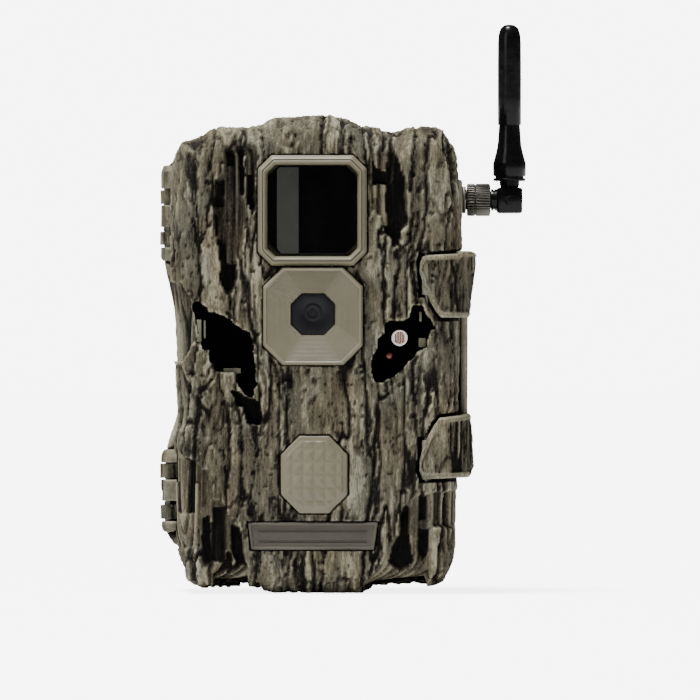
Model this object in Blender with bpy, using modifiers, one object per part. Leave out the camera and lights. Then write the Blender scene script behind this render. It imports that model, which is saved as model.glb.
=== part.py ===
"""Trail camera: a bark-textured weatherproof case that straps to a tree.

The case is a front shell (the door, with the camera, flash, motion sensor and controls) hinged
on the left of a rear housing (batteries, modem, antenna and tree bracket). Sizes are in
millimetres and MM turns them into metres. +Z is up, the camera looks along -Y, and the origin is
on the flat base of the rear housing.
"""

import math

import bmesh
import bpy
from mathutils import Matrix, Vector

MM = 0.001
GAP = 0.3  # between pieces that rest on each other

# Case
SEAM_Y = -4.0  # plane between door and rear housing, and of the door's hinge axis
DOOR_FRONT_Y = -34.0
HOUSING_BACK_Y = 30.0
HALF_WIDTH = 43.0
MID_Z = 71.5
WALL = 3.2
CAVITY_FRONT_Y = DOOR_FRONT_Y + 6.0
CAVITY_BACK_Y = HOUSING_BACK_Y - 3.0

# The right, top and upper-left edge that both halves share, counter-clockwise from the base (x, z)
SHARED_EDGE = [
    (-8.0, 0.0), (15.5, 0.0), (19.5, 2.2), (37.5, 3.0), (41.6, 7.0), (43.2, 18.0), (43.8, 58.0),
    (44.7, 104.0), (43.8, 128.0), (41.5, 136.0), (34.5, 140.2), (22.5, 138.8), (8.0, 142.5),
    (-6.0, 142.8), (-16.0, 139.0), (-30.0, 139.0), (-40.0, 134.3),
]
LOWER_LEFT_EDGE = [(-39.5, 9.0), (-36.5, 3.8), (-19.0, 3.0)]
DOOR_LEFT_EDGE = [(-42.3, 129.0), (-42.5, 94.0), (-40.8, 79.0), (-40.6, 52.0), (-42.0, 45.0), (-41.6, 16.0)]
HOUSING_LEFT_EDGE = [
    (-44.6, 127.5), (-44.6, 97.0), (-41.0, 79.0), (-40.8, 52.0), (-44.4, 43.0), (-44.2, 16.5),
]
DOOR_OUTLINE = SHARED_EDGE + DOOR_LEFT_EDGE + LOWER_LEFT_EDGE
HOUSING_OUTLINE = SHARED_EDGE + HOUSING_LEFT_EDGE + LOWER_LEFT_EDGE

# Door hinge
HINGE_X = -43.3
KNUCKLE_R = 2.5
POCKET_R = 3.1
HINGE_PIN_R = 1.2
UPPER_DOOR_KNUCKLES = [(100.0, 104.1), (110.3, 116.9), (122.0, 129.0)]
UPPER_HOUSING_KNUCKLES = [(104.9, 108.9), (117.3, 121.5)]
LOWER_DOOR_KNUCKLES = [(17.9, 21.2), (27.4, 33.8), (39.0, 43.0)]
LOWER_HOUSING_KNUCKLES = [(21.9, 26.2), (34.3, 38.7)]

# Latch: two pads on the right front corner, joined by a bar down the side
LATCH_PIVOT = (34.4, -32.4)
LATCH_TIP_R = 2.2
LATCH_PIN_R = 0.8
LATCH_POCKET_R = 2.9
LATCH_RECESS_MARGIN = 0.9
LATCH_REAR_Y = 8.0
UPPER_PAD = [
    (33.8, 101.3), (32.2, 99.5), (33.5, 92.3), (35.4, 87.5), (38.5, 82.6), (47.3, 82.8),
    (49.2, 94.0), (49.7, 102.8),
]
LOWER_PAD = [
    (38.4, 52.7), (36.7, 50.8), (33.0, 43.1), (31.9, 37.0), (33.2, 34.1), (47.2, 34.8),
    (49.4, 38.0), (48.3, 50.4), (47.6, 54.2),
]
PAD_INNER_CURVE = [(34.4, -32.0), (37.5, -32.0), (41.5, -30.0), (44.4, -26.5), (45.2, -22.0)]
PAD_OUTER_CURVE = [(34.4, -34.6), (37.0, -35.8), (42.0, -34.9), (46.5, -31.5), (49.0, -26.0), (49.7, -20.0)]

# What the front shell carries (x, z of the centre, then width and height)
IR_BEZEL = {"centre": (0.1, 114.9), "size": (32.7, 33.2), "chamfer": 4.1}
IR_GLASS = {"centre": (0.1, 114.9), "size": (26.5, 26.5), "chamfer": 3.0}
LENS_PLATE = {"centre": (0.3, 83.2), "size": (29.9, 29.3), "chamfer": 5.8}
LENS_WINDOW = {"centre": (0.3, 83.8), "size": (12.7, 12.7), "chamfer": 3.2}
PIR_LENS = {"centre": (0.7, 35.7), "size": (20.1, 23.3), "chamfer": 5.6}
INSET_BACK_Y = -30.3  # back of the pieces set into the front wall
BADGE_OUTLINE = [(-19.2, 21.3), (-18.3, 13.1), (18.6, 13.1), (19.8, 21.3)]
RIGHT_EYE = [
    (29.8, 86.0), (28.4, 82.3), (23.0, 81.3), (20.3, 77.0), (18.3, 70.0), (18.3, 64.8),
    (22.0, 63.8), (28.0, 68.8), (31.8, 72.3), (34.5, 75.5), (36.8, 80.0), (33.0, 86.0),
]
LEFT_EYE = [
    (-35.4, 86.3), (-33.6, 75.0), (-31.3, 72.8), (-28.6, 66.9), (-23.4, 66.4), (-22.7, 63.2),
    (-18.2, 58.9), (-16.8, 63.7), (-17.2, 70.0), (-19.3, 78.0), (-26.0, 83.2), (-31.5, 85.0),
]
EYE_FLOOR_Y = -29.5
LIGHT_SENSOR = (26.3, 76.7)
STATUS_LED = (23.2, 71.3)

# Boards and controls inside the door
BOARD_Y = (-13.6, -12.0)
PANEL_Y = (-9.0, -6.8)
SCREEN = {"x": (-23.0, 23.0), "z": (86.0, 122.0)}
KEYPAD_CENTRE = (0.0, 68.0)
KEY_R = 3.6
KEY_STEP = 10.5
SWITCH_CENTRE = (19.0, 38.0)
SWITCH_TRAVEL = 6.0
CARD = {"x": (-32.0, -8.0), "z": (20.0, 52.0), "y": (-11.0, -8.9)}

# Batteries
CELL_R = 7.1
CELL_LENGTH = 50.5
CELL_PITCH = 15.4
CELL_Y = 7.0
BAY_HEIGHT = 52.9
BAY_WALL = 1.6
TRAY_BOTTOM_Z = 12.5
CONTACT_THICKNESS = 0.6

# Antenna: screwed to a jack on the right side, with an elbow that tilts
ANTENNA_Y = 6.0
ANTENNA_Z = 118.7
ELBOW_X = 59.9
WHIP_TOP_Z = 172.0

# Tree bracket
RIB_X = (20.0, 24.0)
RIB_Z = (26.0, 116.0)
RIB_BACK_Y = 42.5
STRAP_SLOT_Z = (57.0, 84.0)
STRAP_SLOT_Y = (33.9, 39.3)

TRIPOD_CENTRE = (2.0, 16.0)
PORT_CENTRE = (-28.0, 11.0)

MATERIALS = {
    "bark_plastic": ((0.135, 0.118, 0.078), 0.75, 0.0),
    "tan_plastic": ((0.245, 0.210, 0.140), 0.6, 0.0),
    "badge_plastic": ((0.115, 0.098, 0.070), 0.55, 0.0),
    "black_plastic": ((0.012, 0.012, 0.012), 0.45, 0.0),
    "dark_glass": ((0.008, 0.008, 0.010), 0.05, 0.0),
    "lens_glass": ((0.030, 0.032, 0.040), 0.05, 0.0),
    "milky_lens": ((0.300, 0.265, 0.190), 0.4, 0.0),
    "circuit_board": ((0.010, 0.110, 0.045), 0.45, 0.0),
    "chip_metal": ((0.500, 0.500, 0.500), 0.35, 0.9),
    "contact_metal": ((0.620, 0.610, 0.590), 0.3, 1.0),
    "steel": ((0.420, 0.420, 0.410), 0.35, 1.0),
    "brass": ((0.560, 0.390, 0.160), 0.35, 1.0),
    "black_metal": ((0.060, 0.060, 0.060), 0.4, 0.7),
    "antenna_rubber": ((0.010, 0.010, 0.011), 0.35, 0.0),
    "seal_rubber": ((0.020, 0.020, 0.020), 0.8, 0.0),
    "key_rubber": ((0.050, 0.052, 0.055), 0.7, 0.0),
    "cell_wrap": ((0.030, 0.030, 0.034), 0.35, 0.3),
    "sensor_ceramic": ((0.620, 0.560, 0.500), 0.45, 0.0),
    "led_red": ((0.350, 0.020, 0.015), 0.2, 0.0),
    "card_plastic": ((0.018, 0.030, 0.110), 0.4, 0.0),
}


# Scene, materials and modelling helpers


def clear_scene():
    for obj in list(bpy.data.objects):
        bpy.data.objects.remove(obj, do_unlink=True)


def make_collection(name):
    collection = bpy.data.collections.new(name)
    bpy.context.scene.collection.children.link(collection)
    return collection


def make_material(name):
    colour, roughness, metallic = MATERIALS[name]
    material = bpy.data.materials.new(name)
    material.use_nodes = True
    shader = material.node_tree.nodes["Principled BSDF"]
    shader.inputs["Base Color"].default_value = (*colour, 1.0)
    shader.inputs["Roughness"].default_value = roughness
    shader.inputs["Metallic"].default_value = metallic
    material.diffuse_color = (*colour, 1.0)
    return material


clear_scene()
PARTS = make_collection("trail_camera")
CUTTERS = make_collection("cutters")
MATERIAL = {name: make_material(name) for name in MATERIALS}


def mesh_object(name, bm, material=None):
    """An object from a bmesh in millimetres: a part if it has a material, otherwise a cutter."""
    bmesh.ops.recalc_face_normals(bm, faces=bm.faces)
    bmesh.ops.scale(bm, vec=(MM, MM, MM), verts=bm.verts)
    mesh = bpy.data.meshes.new(name)
    bm.to_mesh(mesh)
    bm.free()
    obj = bpy.data.objects.new(name, mesh)
    if material is None:
        CUTTERS.objects.link(obj)
        obj.hide_render = True
        obj.display_type = "WIRE"
    else:
        PARTS.objects.link(obj)
        mesh.materials.append(MATERIAL[material])
    return obj


def box(name, x, y, z, material=None, round_edges=0.0):
    bm = bmesh.new()
    bmesh.ops.create_cube(bm, size=1.0)
    size = Vector((x[1] - x[0], y[1] - y[0], z[1] - z[0]))
    centre = Vector((x[0] + x[1], y[0] + y[1], z[0] + z[1])) / 2
    bmesh.ops.scale(bm, vec=size, verts=bm.verts)
    bmesh.ops.translate(bm, vec=centre, verts=bm.verts)
    if round_edges:
        bmesh.ops.bevel(bm, geom=bm.edges[:], offset=round_edges, segments=1, affect="EDGES")
    return mesh_object(name, bm, material)


AXIS_TURN = {
    "x": Matrix.Rotation(math.pi / 2, 4, "Y"),
    "y": Matrix.Rotation(-math.pi / 2, 4, "X"),
    "z": Matrix.Identity(4),
}


def rod(name, axis, centre, radius, span, material=None, segments=24, end_radius=None):
    """A cylinder or cone along an axis. centre is its place on the other two axes, in X, Y, Z order."""
    bm = bmesh.new()
    bmesh.ops.create_cone(
        bm, cap_ends=True, segments=segments, radius1=radius, depth=span[1] - span[0],
        radius2=radius if end_radius is None else end_radius, matrix=AXIS_TURN[axis],
    )
    middle = (span[0] + span[1]) / 2
    place = {"x": (middle, *centre), "y": (centre[0], middle, centre[1]), "z": (*centre, middle)}[axis]
    bmesh.ops.translate(bm, vec=place, verts=bm.verts)
    obj = mesh_object(name, bm, material)
    obj.data.shade_smooth()
    obj.data.set_sharp_from_angle(angle=math.radians(40))
    return obj


def turned(name, profile, material, place, turn=None, steps=24):
    """A profile of (radius, height) points, top to bottom, turned round a local axis."""
    bm = bmesh.new()
    verts = [bm.verts.new((radius * MM, 0, height * MM)) for radius, height in profile]
    for upper, lower in zip(verts, verts[1:]):
        bm.edges.new((upper, lower))
    mesh = bpy.data.meshes.new(name)
    bm.to_mesh(mesh)
    bm.free()
    obj = bpy.data.objects.new(name, mesh)
    PARTS.objects.link(obj)
    mesh.materials.append(MATERIAL[material])
    screw = obj.modifiers.new("turn", "SCREW")
    screw.steps = steps
    screw.render_steps = steps
    screw.use_merge_vertices = True
    screw.merge_threshold = 0.00001
    screw.use_smooth_shade = True
    obj.location = Vector(place) * MM
    if turn is not None:
        obj.rotation_euler = turn
    return obj


def slab(name, outline, y, material=None):
    """An outline of (x, z) points pushed along Y."""
    return loft(name, outline, [(y[0], 0.0), (y[1], 0.0)], material)


def loft(name, outline, stations, material=None):
    """A solid through cross-sections given as (y, inset).

    Each is the outline drawn in towards the case's centre line by inset, so that a row of them
    makes a rounded edge.
    """
    bm = bmesh.new()
    rings = []
    for depth, inset in stations:
        rings.append([bm.verts.new((px, depth, pz)) for px, pz in drawn_in(outline, inset)])
    for near, far in zip(rings, rings[1:]):
        for corner in range(len(outline)):
            bm.faces.new((near[corner - 1], near[corner], far[corner], far[corner - 1]))
    bm.faces.new(rings[0])
    bm.faces.new(rings[-1])
    return mesh_object(name, bm, material)


def drawn_in(outline, inset):
    """The outline scaled about the case's middle, so that its edge moves in by about inset."""
    return [
        (px * (1 - inset / HALF_WIDTH), MID_Z + (pz - MID_Z) * (1 - inset / MID_Z))
        for px, pz in outline
    ]


def pillar(name, outline, z, material=None):
    """An outline of (x, y) points pushed along Z."""
    bm = bmesh.new()
    face = bm.faces.new([bm.verts.new((px, py, z[0])) for px, py in outline])
    grown = bmesh.ops.extrude_face_region(bm, geom=[face])["geom"]
    top = [item for item in grown if isinstance(item, bmesh.types.BMVert)]
    bmesh.ops.translate(bm, vec=(0, 0, z[1] - z[0]), verts=top)
    return mesh_object(name, bm, material)


def lengthwise(name, outline, x, material=None):
    """An outline of (y, z) points pushed along X."""
    bm = bmesh.new()
    face = bm.faces.new([bm.verts.new((x[0], py, pz)) for py, pz in outline])
    grown = bmesh.ops.extrude_face_region(bm, geom=[face])["geom"]
    far = [item for item in grown if isinstance(item, bmesh.types.BMVert)]
    bmesh.ops.translate(bm, vec=(x[1] - x[0], 0, 0), verts=far)
    return mesh_object(name, bm, material)


def grown_outline(outline, distance):
    """The outline moved out by distance (in, if negative), with mitred corners."""
    points = [Vector(point) for point in outline]
    area = sum(a.x * b.y - b.x * a.y for a, b in zip(points, points[1:] + points[:1]))
    side = 1.0 if area > 0 else -1.0
    moved = []
    for before, point, after in zip(points[-1:] + points[:-1], points, points[1:] + points[:1]):
        normals = []
        for run in (point - before, after - point):
            run = run.normalized()
            normals.append(Vector((run.y, -run.x)) * side)
        bisector = (normals[0] + normals[1]).normalized()
        moved.append(tuple(point + bisector * distance / bisector.dot(normals[0])))
    return moved


def octagon(spec, margin=0.0):
    """The corners of a box with cut corners, as (x, z) points."""
    (cx, cz), (width, height), chamfer = spec["centre"], spec["size"], spec["chamfer"]
    half_w, half_h = width / 2 + margin, height / 2 + margin
    cut = chamfer + margin * 0.586
    corners = [
        (half_w - cut, -half_h), (half_w, cut - half_h), (half_w, half_h - cut), (half_w - cut, half_h),
        (cut - half_w, half_h), (-half_w, half_h - cut), (-half_w, cut - half_h), (cut - half_w, -half_h),
    ]
    return [(cx + px, cz + pz) for px, pz in corners]


def scaled_octagon(spec, width):
    """The same octagon at another width, its other sizes in proportion."""
    ratio = width / spec["size"][0]
    size = (width, spec["size"][1] * ratio)
    return octagon({"centre": spec["centre"], "size": size, "chamfer": spec["chamfer"] * ratio})


def boolean(obj, tool, operation):
    modifier = obj.modifiers.new(operation.lower(), "BOOLEAN")
    modifier.operation = operation
    modifier.solver = "EXACT"
    modifier.object = tool


def cut(obj, *tools):
    for tool in tools:
        boolean(obj, tool, "DIFFERENCE")


def join(obj, *tools):
    for tool in tools:
        boolean(obj, tool, "UNION")


def keep_common(obj, tool):
    boolean(obj, tool, "INTERSECT")


# Case shells and their hinge


def knuckle(name, span, web_y):
    """A hinge barrel round the door's axis with the web that carries it."""
    barrel = rod(name, "z", (HINGE_X, SEAM_Y), KNUCKLE_R, span, segments=20)
    web = box(name + "_web", (HINGE_X - 1.6, -40.9), web_y, span)
    join(barrel, web)
    return barrel


def add_knuckles(shell, label, own, other, web_y):
    """Joins a shell's own barrels and clears a pocket round the other shell's."""
    for number, span in enumerate(other):
        pocket = (span[0] - 0.4, span[1] + 0.4)
        cut(shell, rod(f"{label}_pocket_{number}", "z", (HINGE_X, SEAM_Y), POCKET_R, pocket, segments=20))
    for number, span in enumerate(own):
        join(shell, knuckle(f"{label}_knuckle_{number}", span, web_y))


def hinge_bore(name, spans):
    span = (spans[0][0] - 1, spans[-1][1] - 1.5)
    return rod(name, "z", (HINGE_X, SEAM_Y), HINGE_PIN_R + GAP, span, segments=16)


HINGE_BORES = [
    hinge_bore("upper_hinge_bore", UPPER_DOOR_KNUCKLES),
    hinge_bore("lower_hinge_bore", LOWER_DOOR_KNUCKLES),
]


def add_hinge_pins():
    for name, spans in (("hinge_pin_upper", UPPER_DOOR_KNUCKLES), ("hinge_pin_lower", LOWER_DOOR_KNUCKLES)):
        rod(name, "z", (HINGE_X, SEAM_Y), HINGE_PIN_R, (spans[0][0] + 0.2, spans[-1][1] - 2.0), "steel", 16)


def latch_band(name, shift, z):
    """The space the latch fills in plan, from its pads' inner surface (moved in by shift) outward."""
    inner = [(px - shift, py + shift) for px, py in PAD_INNER_CURVE]
    reach = [(inner[-1][0], LATCH_REAR_Y), (60.0, LATCH_REAR_Y), (60.0, -45.0), (inner[0][0] - 6.0, -45.0)]
    return pillar(name, inner + reach + [(inner[0][0] - 6.0, inner[0][1])], z)


def latch_recess(name, pad, z):
    """What the front shell loses so that a latch pad can lie in it and swing."""
    recess = slab(name, grown_outline(pad, LATCH_RECESS_MARGIN), (-50.0, -14.0))
    keep_common(recess, latch_band(name + "_band", 0.35, (z[0] - 5, z[1] + 5)))
    return recess


def make_front_shell():
    shell = loft(
        "front_shell", DOOR_OUTLINE,
        [(SEAM_Y - GAP / 2, 0.0), (-25.0, 0.0), (-29.5, 1.6), (-32.4, 4.4), (DOOR_FRONT_Y, 9.0)],
        "bark_plastic",
    )
    hollow = [(SEAM_Y + 1, WALL), (-24.0, WALL), (CAVITY_FRONT_Y, 4.5)]
    cut(shell, loft("door_cavity", DOOR_OUTLINE, hollow))
    add_knuckles(
        shell, "door", UPPER_DOOR_KNUCKLES + LOWER_DOOR_KNUCKLES,
        UPPER_HOUSING_KNUCKLES + LOWER_HOUSING_KNUCKLES, (-9.0, SEAM_Y - GAP),
    )
    cut(shell, *HINGE_BORES)
    through = (-45.0, CAVITY_FRONT_Y + 1)
    for name, spec in (("ir_bezel", IR_BEZEL), ("lens_plate", LENS_PLATE), ("pir_lens", PIR_LENS)):
        cut(shell, slab(name + "_opening", octagon(spec, GAP), through))
    cut(shell, slab("right_eye_opening", RIGHT_EYE, through), slab("left_eye_opening", LEFT_EYE, through))
    cut(shell, slab("badge_recess", grown_outline(BADGE_OUTLINE, GAP), (-45.0, -32.5)))
    for name, pad, span in (("upper", UPPER_PAD, (82.0, 103.0)), ("lower", LOWER_PAD, (34.0, 54.3))):
        cut(shell, latch_recess(name + "_pad_recess", pad, span))
        lug = tip_span(pad)
        cut(shell, rod(name + "_tip_pocket", "z", LATCH_PIVOT, LATCH_POCKET_R, (lug[0] - 0.6, lug[1] + 0.6)))
        bore = (lug[0] - 3.6, lug[1] + 3.6)
        cut(shell, rod(name + "_pin_bore", "z", LATCH_PIVOT, LATCH_PIN_R + GAP, bore, None, 12))
    return shell


def make_rear_housing():
    housing = loft(
        "rear_housing", HOUSING_OUTLINE,
        [(SEAM_Y + GAP / 2, 0.0), (18.0, 0.0), (25.0, 1.8), (28.5, 4.5), (HOUSING_BACK_Y, 9.0)],
        "bark_plastic",
    )
    hollow = [(SEAM_Y - 1, WALL), (22.0, WALL + 0.4), (CAVITY_BACK_Y, 5.0)]
    cut(housing, loft("housing_cavity", HOUSING_OUTLINE, hollow))
    add_knuckles(
        housing, "housing", UPPER_HOUSING_KNUCKLES + LOWER_HOUSING_KNUCKLES,
        UPPER_DOOR_KNUCKLES + LOWER_DOOR_KNUCKLES, (SEAM_Y + GAP, 1.0),
    )
    cut(housing, *HINGE_BORES)
    antenna_axis = (ANTENNA_Y, ANTENNA_Z)
    join(housing, rod("jack_boss", "x", antenna_axis, 6.15, (41.5, 45.3), segments=28))
    cut(housing, rod("jack_bore", "x", antenna_axis, 3.5, (38.0, 48.0), segments=20))
    join(housing, rod("tripod_boss", "z", TRIPOD_CENTRE, 7.5, (1.5, 11.5), segments=24))
    cut(housing, rod("tripod_bore", "z", TRIPOD_CENTRE, 4.8, (-2.0, 9.3), segments=20))
    cut(housing, rod("port_bore", "z", PORT_CENTRE, 2.9, (-2.0, 8.0), segments=16))
    return housing


def make_gasket():
    """The seal just inside the case walls, across the seam."""
    y = (SEAM_Y - 2.4, SEAM_Y + 2.4)
    gasket = loft("door_gasket", DOOR_OUTLINE, [(y[0], 3.6), (y[1], 3.6)], "seal_rubber")
    cut(gasket, loft("gasket_inside", DOOR_OUTLINE, [(y[0] - 1, 5.0), (y[1] + 1, 5.0)]))
    return gasket


# Latch


def tip_span(pad):
    """How far the pad reaches up and down where the pivot pin goes through it."""
    crossings = []
    for (ax, az), (bx, bz) in zip(pad, pad[1:] + pad[:1]):
        if (ax - LATCH_PIVOT[0]) * (bx - LATCH_PIVOT[0]) < 0:
            share = (LATCH_PIVOT[0] - ax) / (bx - ax)
            crossings.append(az + (bz - az) * share)
    return min(crossings), max(crossings)


def make_latch():
    """Both pads follow one plan section, cut to each pad's outline and tied by the side bar."""
    inner = PAD_INNER_CURVE + [(45.2, LATCH_REAR_Y)]
    outer = PAD_OUTER_CURVE + [(49.7, 2.0), (47.4, LATCH_REAR_Y)]
    section = inner + outer[::-1]
    lever = pillar("latch_lever", section, (30.0, 106.0), "bark_plastic")
    pads = slab("latch_pads", UPPER_PAD, (-50.0, 20.0))
    bar = box("latch_bar_outline", (44.8, 46.9), (-20.0, LATCH_REAR_Y + 1), (48.0, 88.0))
    join(pads, slab("lower_pad_outline", LOWER_PAD, (-50.0, 20.0)), bar)
    keep_common(lever, pads)
    for name, pad in (("upper", UPPER_PAD), ("lower", LOWER_PAD)):
        span = tip_span(pad)
        tip = (span[0] + 0.1, span[1] - 0.1)
        join(lever, rod(name + "_tip", "z", LATCH_PIVOT, LATCH_TIP_R, tip, segments=20))
    for name, pad in (("upper", UPPER_PAD), ("lower", LOWER_PAD)):
        span = tip_span(pad)
        bore = (span[0] - 2, span[1] + 2)
        cut(lever, rod(name + "_tip_bore", "z", LATCH_PIVOT, LATCH_PIN_R + GAP, bore, segments=12))
    return lever


def add_latch_pins():
    pins = []
    for name, pad in (("latch_pin_upper", UPPER_PAD), ("latch_pin_lower", LOWER_PAD)):
        low, high = tip_span(pad)
        pins.append(rod(name, "z", LATCH_PIVOT, LATCH_PIN_R, (low - 3.2, high + 3.2), "steel", 12))
    return pins


# Optics and sensors in the front wall


def make_ir_bezel():
    bezel = slab("ir_window_bezel", octagon(IR_BEZEL), (-36.6, INSET_BACK_Y), "tan_plastic")
    cap = slab("bezel_cap", octagon(IR_BEZEL, -1.1), (-37.4, -36.0))
    join(bezel, cap)
    cut(bezel, slab("bezel_seat", octagon(IR_GLASS, GAP), (-45.0, -33.5)))
    cut(bezel, slab("bezel_light_way", octagon(IR_GLASS, -1.6), (-40.0, -28.0)))
    return bezel


def make_lens_plate():
    plate = slab("lens_plate", octagon(LENS_PLATE), (-37.2, INSET_BACK_Y), "tan_plastic")
    for step in range(4):
        width = 27.4 - 3.4 * step
        floor = -36.8 + 0.6 * step
        cut(plate, slab(f"lens_plate_step_{step}", scaled_octagon(LENS_PLATE, width), (-45.0, floor)))
    cut(plate, slab("lens_window_seat", octagon(LENS_WINDOW, GAP), (-45.0, -33.1)))
    cut(plate, rod("lens_way", "y", LENS_WINDOW["centre"], 4.6, (-40.0, -28.0), segments=24))
    return plate


def add_window_glass():
    glass = slab("ir_window_glass", octagon(IR_GLASS), (-35.8, -33.8), "dark_glass")
    window = slab("lens_window", octagon(LENS_WINDOW), (-34.6, -33.4), "dark_glass")
    return [glass, window]


def make_led_board():
    """The infrared flash: a board with a grid of emitters facing the window."""
    cx, cz = IR_GLASS["centre"]
    board = box("ir_led_board", (cx - 14, cx + 14), (-24.5, -22.9), (cz - 14, cz + 14), "circuit_board")
    columns, rows, pitch = 4, 5, 5.4
    for column in range(columns):
        for row in range(rows):
            x = cx + (column - (columns - 1) / 2) * pitch
            z = cz + (row - (rows - 1) / 2) * pitch
            led = rod(f"led_{column}_{row}", "y", (x, z), 1.9, (-29.0, -24.0), None, 10, 2.1)
            join(board, led)
    return board


def add_camera_module():
    """Lens barrel in its holder, the day and night filter behind it, and the sensor on the board."""
    x, z = LENS_WINDOW["centre"]
    barrel = rod("lens_barrel", "y", (x, z), 6.0, (-30.0, -17.6), "black_plastic")
    cut(barrel, rod("lens_barrel_mouth", "y", (x, z), 4.0, (-32.0, -27.6), segments=20))
    element = rod("front_lens", "y", (x, z), 3.7, (-29.6, -27.9), "lens_glass", 20, 3.7)
    holder = box("lens_holder", (x - 12.5, x + 12.5), (-24.0, -13.9), (z - 8, z + 8), "black_plastic")
    cut(holder, rod("lens_holder_bore", "y", (x, z), 6.3, (-26.0, -16.0), segments=24))
    cut(holder, box("filter_way", (x - 11, x + 11), (-17.3, -12.0), (z - 6.5, z + 6.5)))
    night_filter = box("ir_cut_filter", (x - 10.7, x + 4.3), (-16.7, -15.9), (z - 5.5, z + 5.5), "lens_glass")
    sensor = box("image_sensor", (x - 4.5, x + 4.5), (-15.2, -13.9), (z - 4.5, z + 4.5), "chip_metal")
    return [barrel, element, holder, night_filter, sensor]


def add_motion_sensor():
    """A faceted lens in the front wall and the sensor that looks through it."""
    lens = slab("pir_lens", octagon(PIR_LENS), (-34.9, INSET_BACK_Y), "milky_lens")
    join(lens, slab("pir_lens_crown", octagon(PIR_LENS, -1.4), (-36.0, -34.0)))
    cut(lens, slab("pir_lens_hollow", octagon(PIR_LENS, -2.6), (-34.4, -28.0)))
    sensor = rod("pir_sensor", "y", PIR_LENS["centre"], 4.6, (-18.2, -13.9), "chip_metal", 20)
    return [lens, sensor]


def make_eye_insert(name, outline):
    """The dark floor of a hollow in the shell, held behind the front wall."""
    insert = slab(name, grown_outline(outline, 1.0), (CAVITY_FRONT_Y + GAP, -26.2), "black_plastic")
    join(insert, slab(name + "_floor", grown_outline(outline, -GAP), (EYE_FLOOR_Y, -26.8)))
    return insert


def add_light_sensor():
    sensor = rod("light_sensor", "y", LIGHT_SENSOR, 2.45, (-32.2, EYE_FLOOR_Y - GAP), "sensor_ceramic", 24)
    led = rod("status_led", "y", STATUS_LED, 0.7, (-31.4, EYE_FLOOR_Y - GAP), "led_red", 16, 1.0)
    return [sensor, led]


def make_badge():
    badge = slab("badge_plate", BADGE_OUTLINE, (-34.3, -32.8), "badge_plastic")
    for level in (15.6, 18.8):
        cut(badge, box(f"badge_groove_{level:.0f}", (-16.0, 16.5), (-36.0, -34.0), (level - 0.4, level + 0.4)))
    return badge


# Boards and controls inside the door


def make_main_board():
    board = box("main_board", (-32.0, 32.0), BOARD_Y, (14.0, 124.0), "circuit_board")
    for x in (-29.0, 29.0):
        for z in (17.0, 121.0):
            cut(board, rod(f"board_hole_{x:.0f}_{z:.0f}", "y", (x, z), 1.6, (-16.0, -10.0), segments=12))
    return board


def key_places():
    x, z = KEYPAD_CENTRE
    return {
        "button_ok": (x, z), "button_up": (x, z + KEY_STEP), "button_down": (x, z - KEY_STEP),
        "button_left": (x - KEY_STEP, z), "button_right": (x + KEY_STEP, z),
    }


def make_control_panel():
    """The door's inner cover, with openings for the screen, keys, switch and card."""
    panel = loft("control_panel", DOOR_OUTLINE, [(PANEL_Y[0], 3.7), (PANEL_Y[1], 3.7)], "black_plastic")
    deep = (PANEL_Y[0] - 2, PANEL_Y[1] + 2)
    x, z = SCREEN["x"], SCREEN["z"]
    cut(panel, box("screen_opening", (x[0] - GAP, x[1] + GAP), deep, (z[0] - GAP, z[1] + GAP)))
    for name, place in key_places().items():
        cut(panel, rod(name + "_hole", "y", place, KEY_R + GAP, deep, segments=20))
    x, z = SWITCH_CENTRE
    cut(panel, box("switch_slot", (x - 2.8, x + SWITCH_TRAVEL + 2.8), deep, (z - 2.3, z + 2.3)))
    x, z = CARD["x"], CARD["z"]
    cut(panel, box("card_opening", (x[0] - 2, x[1] + 2), deep, (z[0] - 7, z[1] + 3.6)))
    return panel


def add_controls():
    screen = box("lcd_screen", SCREEN["x"], (-11.6, -7.2), SCREEN["z"], "dark_glass")
    keys = [rod(name, "y", place, KEY_R, (-11.0, -5.8), "key_rubber", 20) for name, place in key_places().items()]
    x, z = SWITCH_CENTRE
    switch = box("power_switch", (x - 2.5, x + 2.5), (-11.2, -5.4), (z - 2.0, z + 2.0), "key_rubber")
    return [screen, switch] + keys


def add_memory_card():
    x, y, z = CARD["x"], CARD["y"], CARD["z"]
    card = box("sd_card", x, y, z, "card_plastic")
    span = ((x[0] - 1.5, x[1] + 1.5), (y[0] - 0.7, y[1] + 0.7), (z[0] + 6, z[1] + 3))
    socket = box("sd_socket", *span, "chip_metal")
    hollow = ((x[0] - GAP, x[1] + GAP), (y[0] - GAP, y[1] + GAP), (z[0] + 3, z[1] + 1.5))
    cut(socket, box("card_way", *hollow))
    return [card, socket]


# Rear housing's contents


def make_battery_tray():
    """An open tray with two bays, one above the other, for four upright cells each."""
    half = 2 * CELL_PITCH
    top = TRAY_BOTTOM_Z + 2 * BAY_HEIGHT + 3 * BAY_WALL
    tray = box("battery_tray", (-half - 1.8, half + 1.8), (-1.0, 16.2), (TRAY_BOTTOM_Z, top), "black_plastic")
    for row in range(2):
        low = bay_bottom(row)
        cut(tray, box(f"battery_bay_{row}", (-half, half), (-4.0, 14.6), (low, low + BAY_HEIGHT)))
    return tray


def bay_bottom(row):
    return TRAY_BOTTOM_Z + BAY_WALL + row * (BAY_HEIGHT + BAY_WALL)


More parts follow.
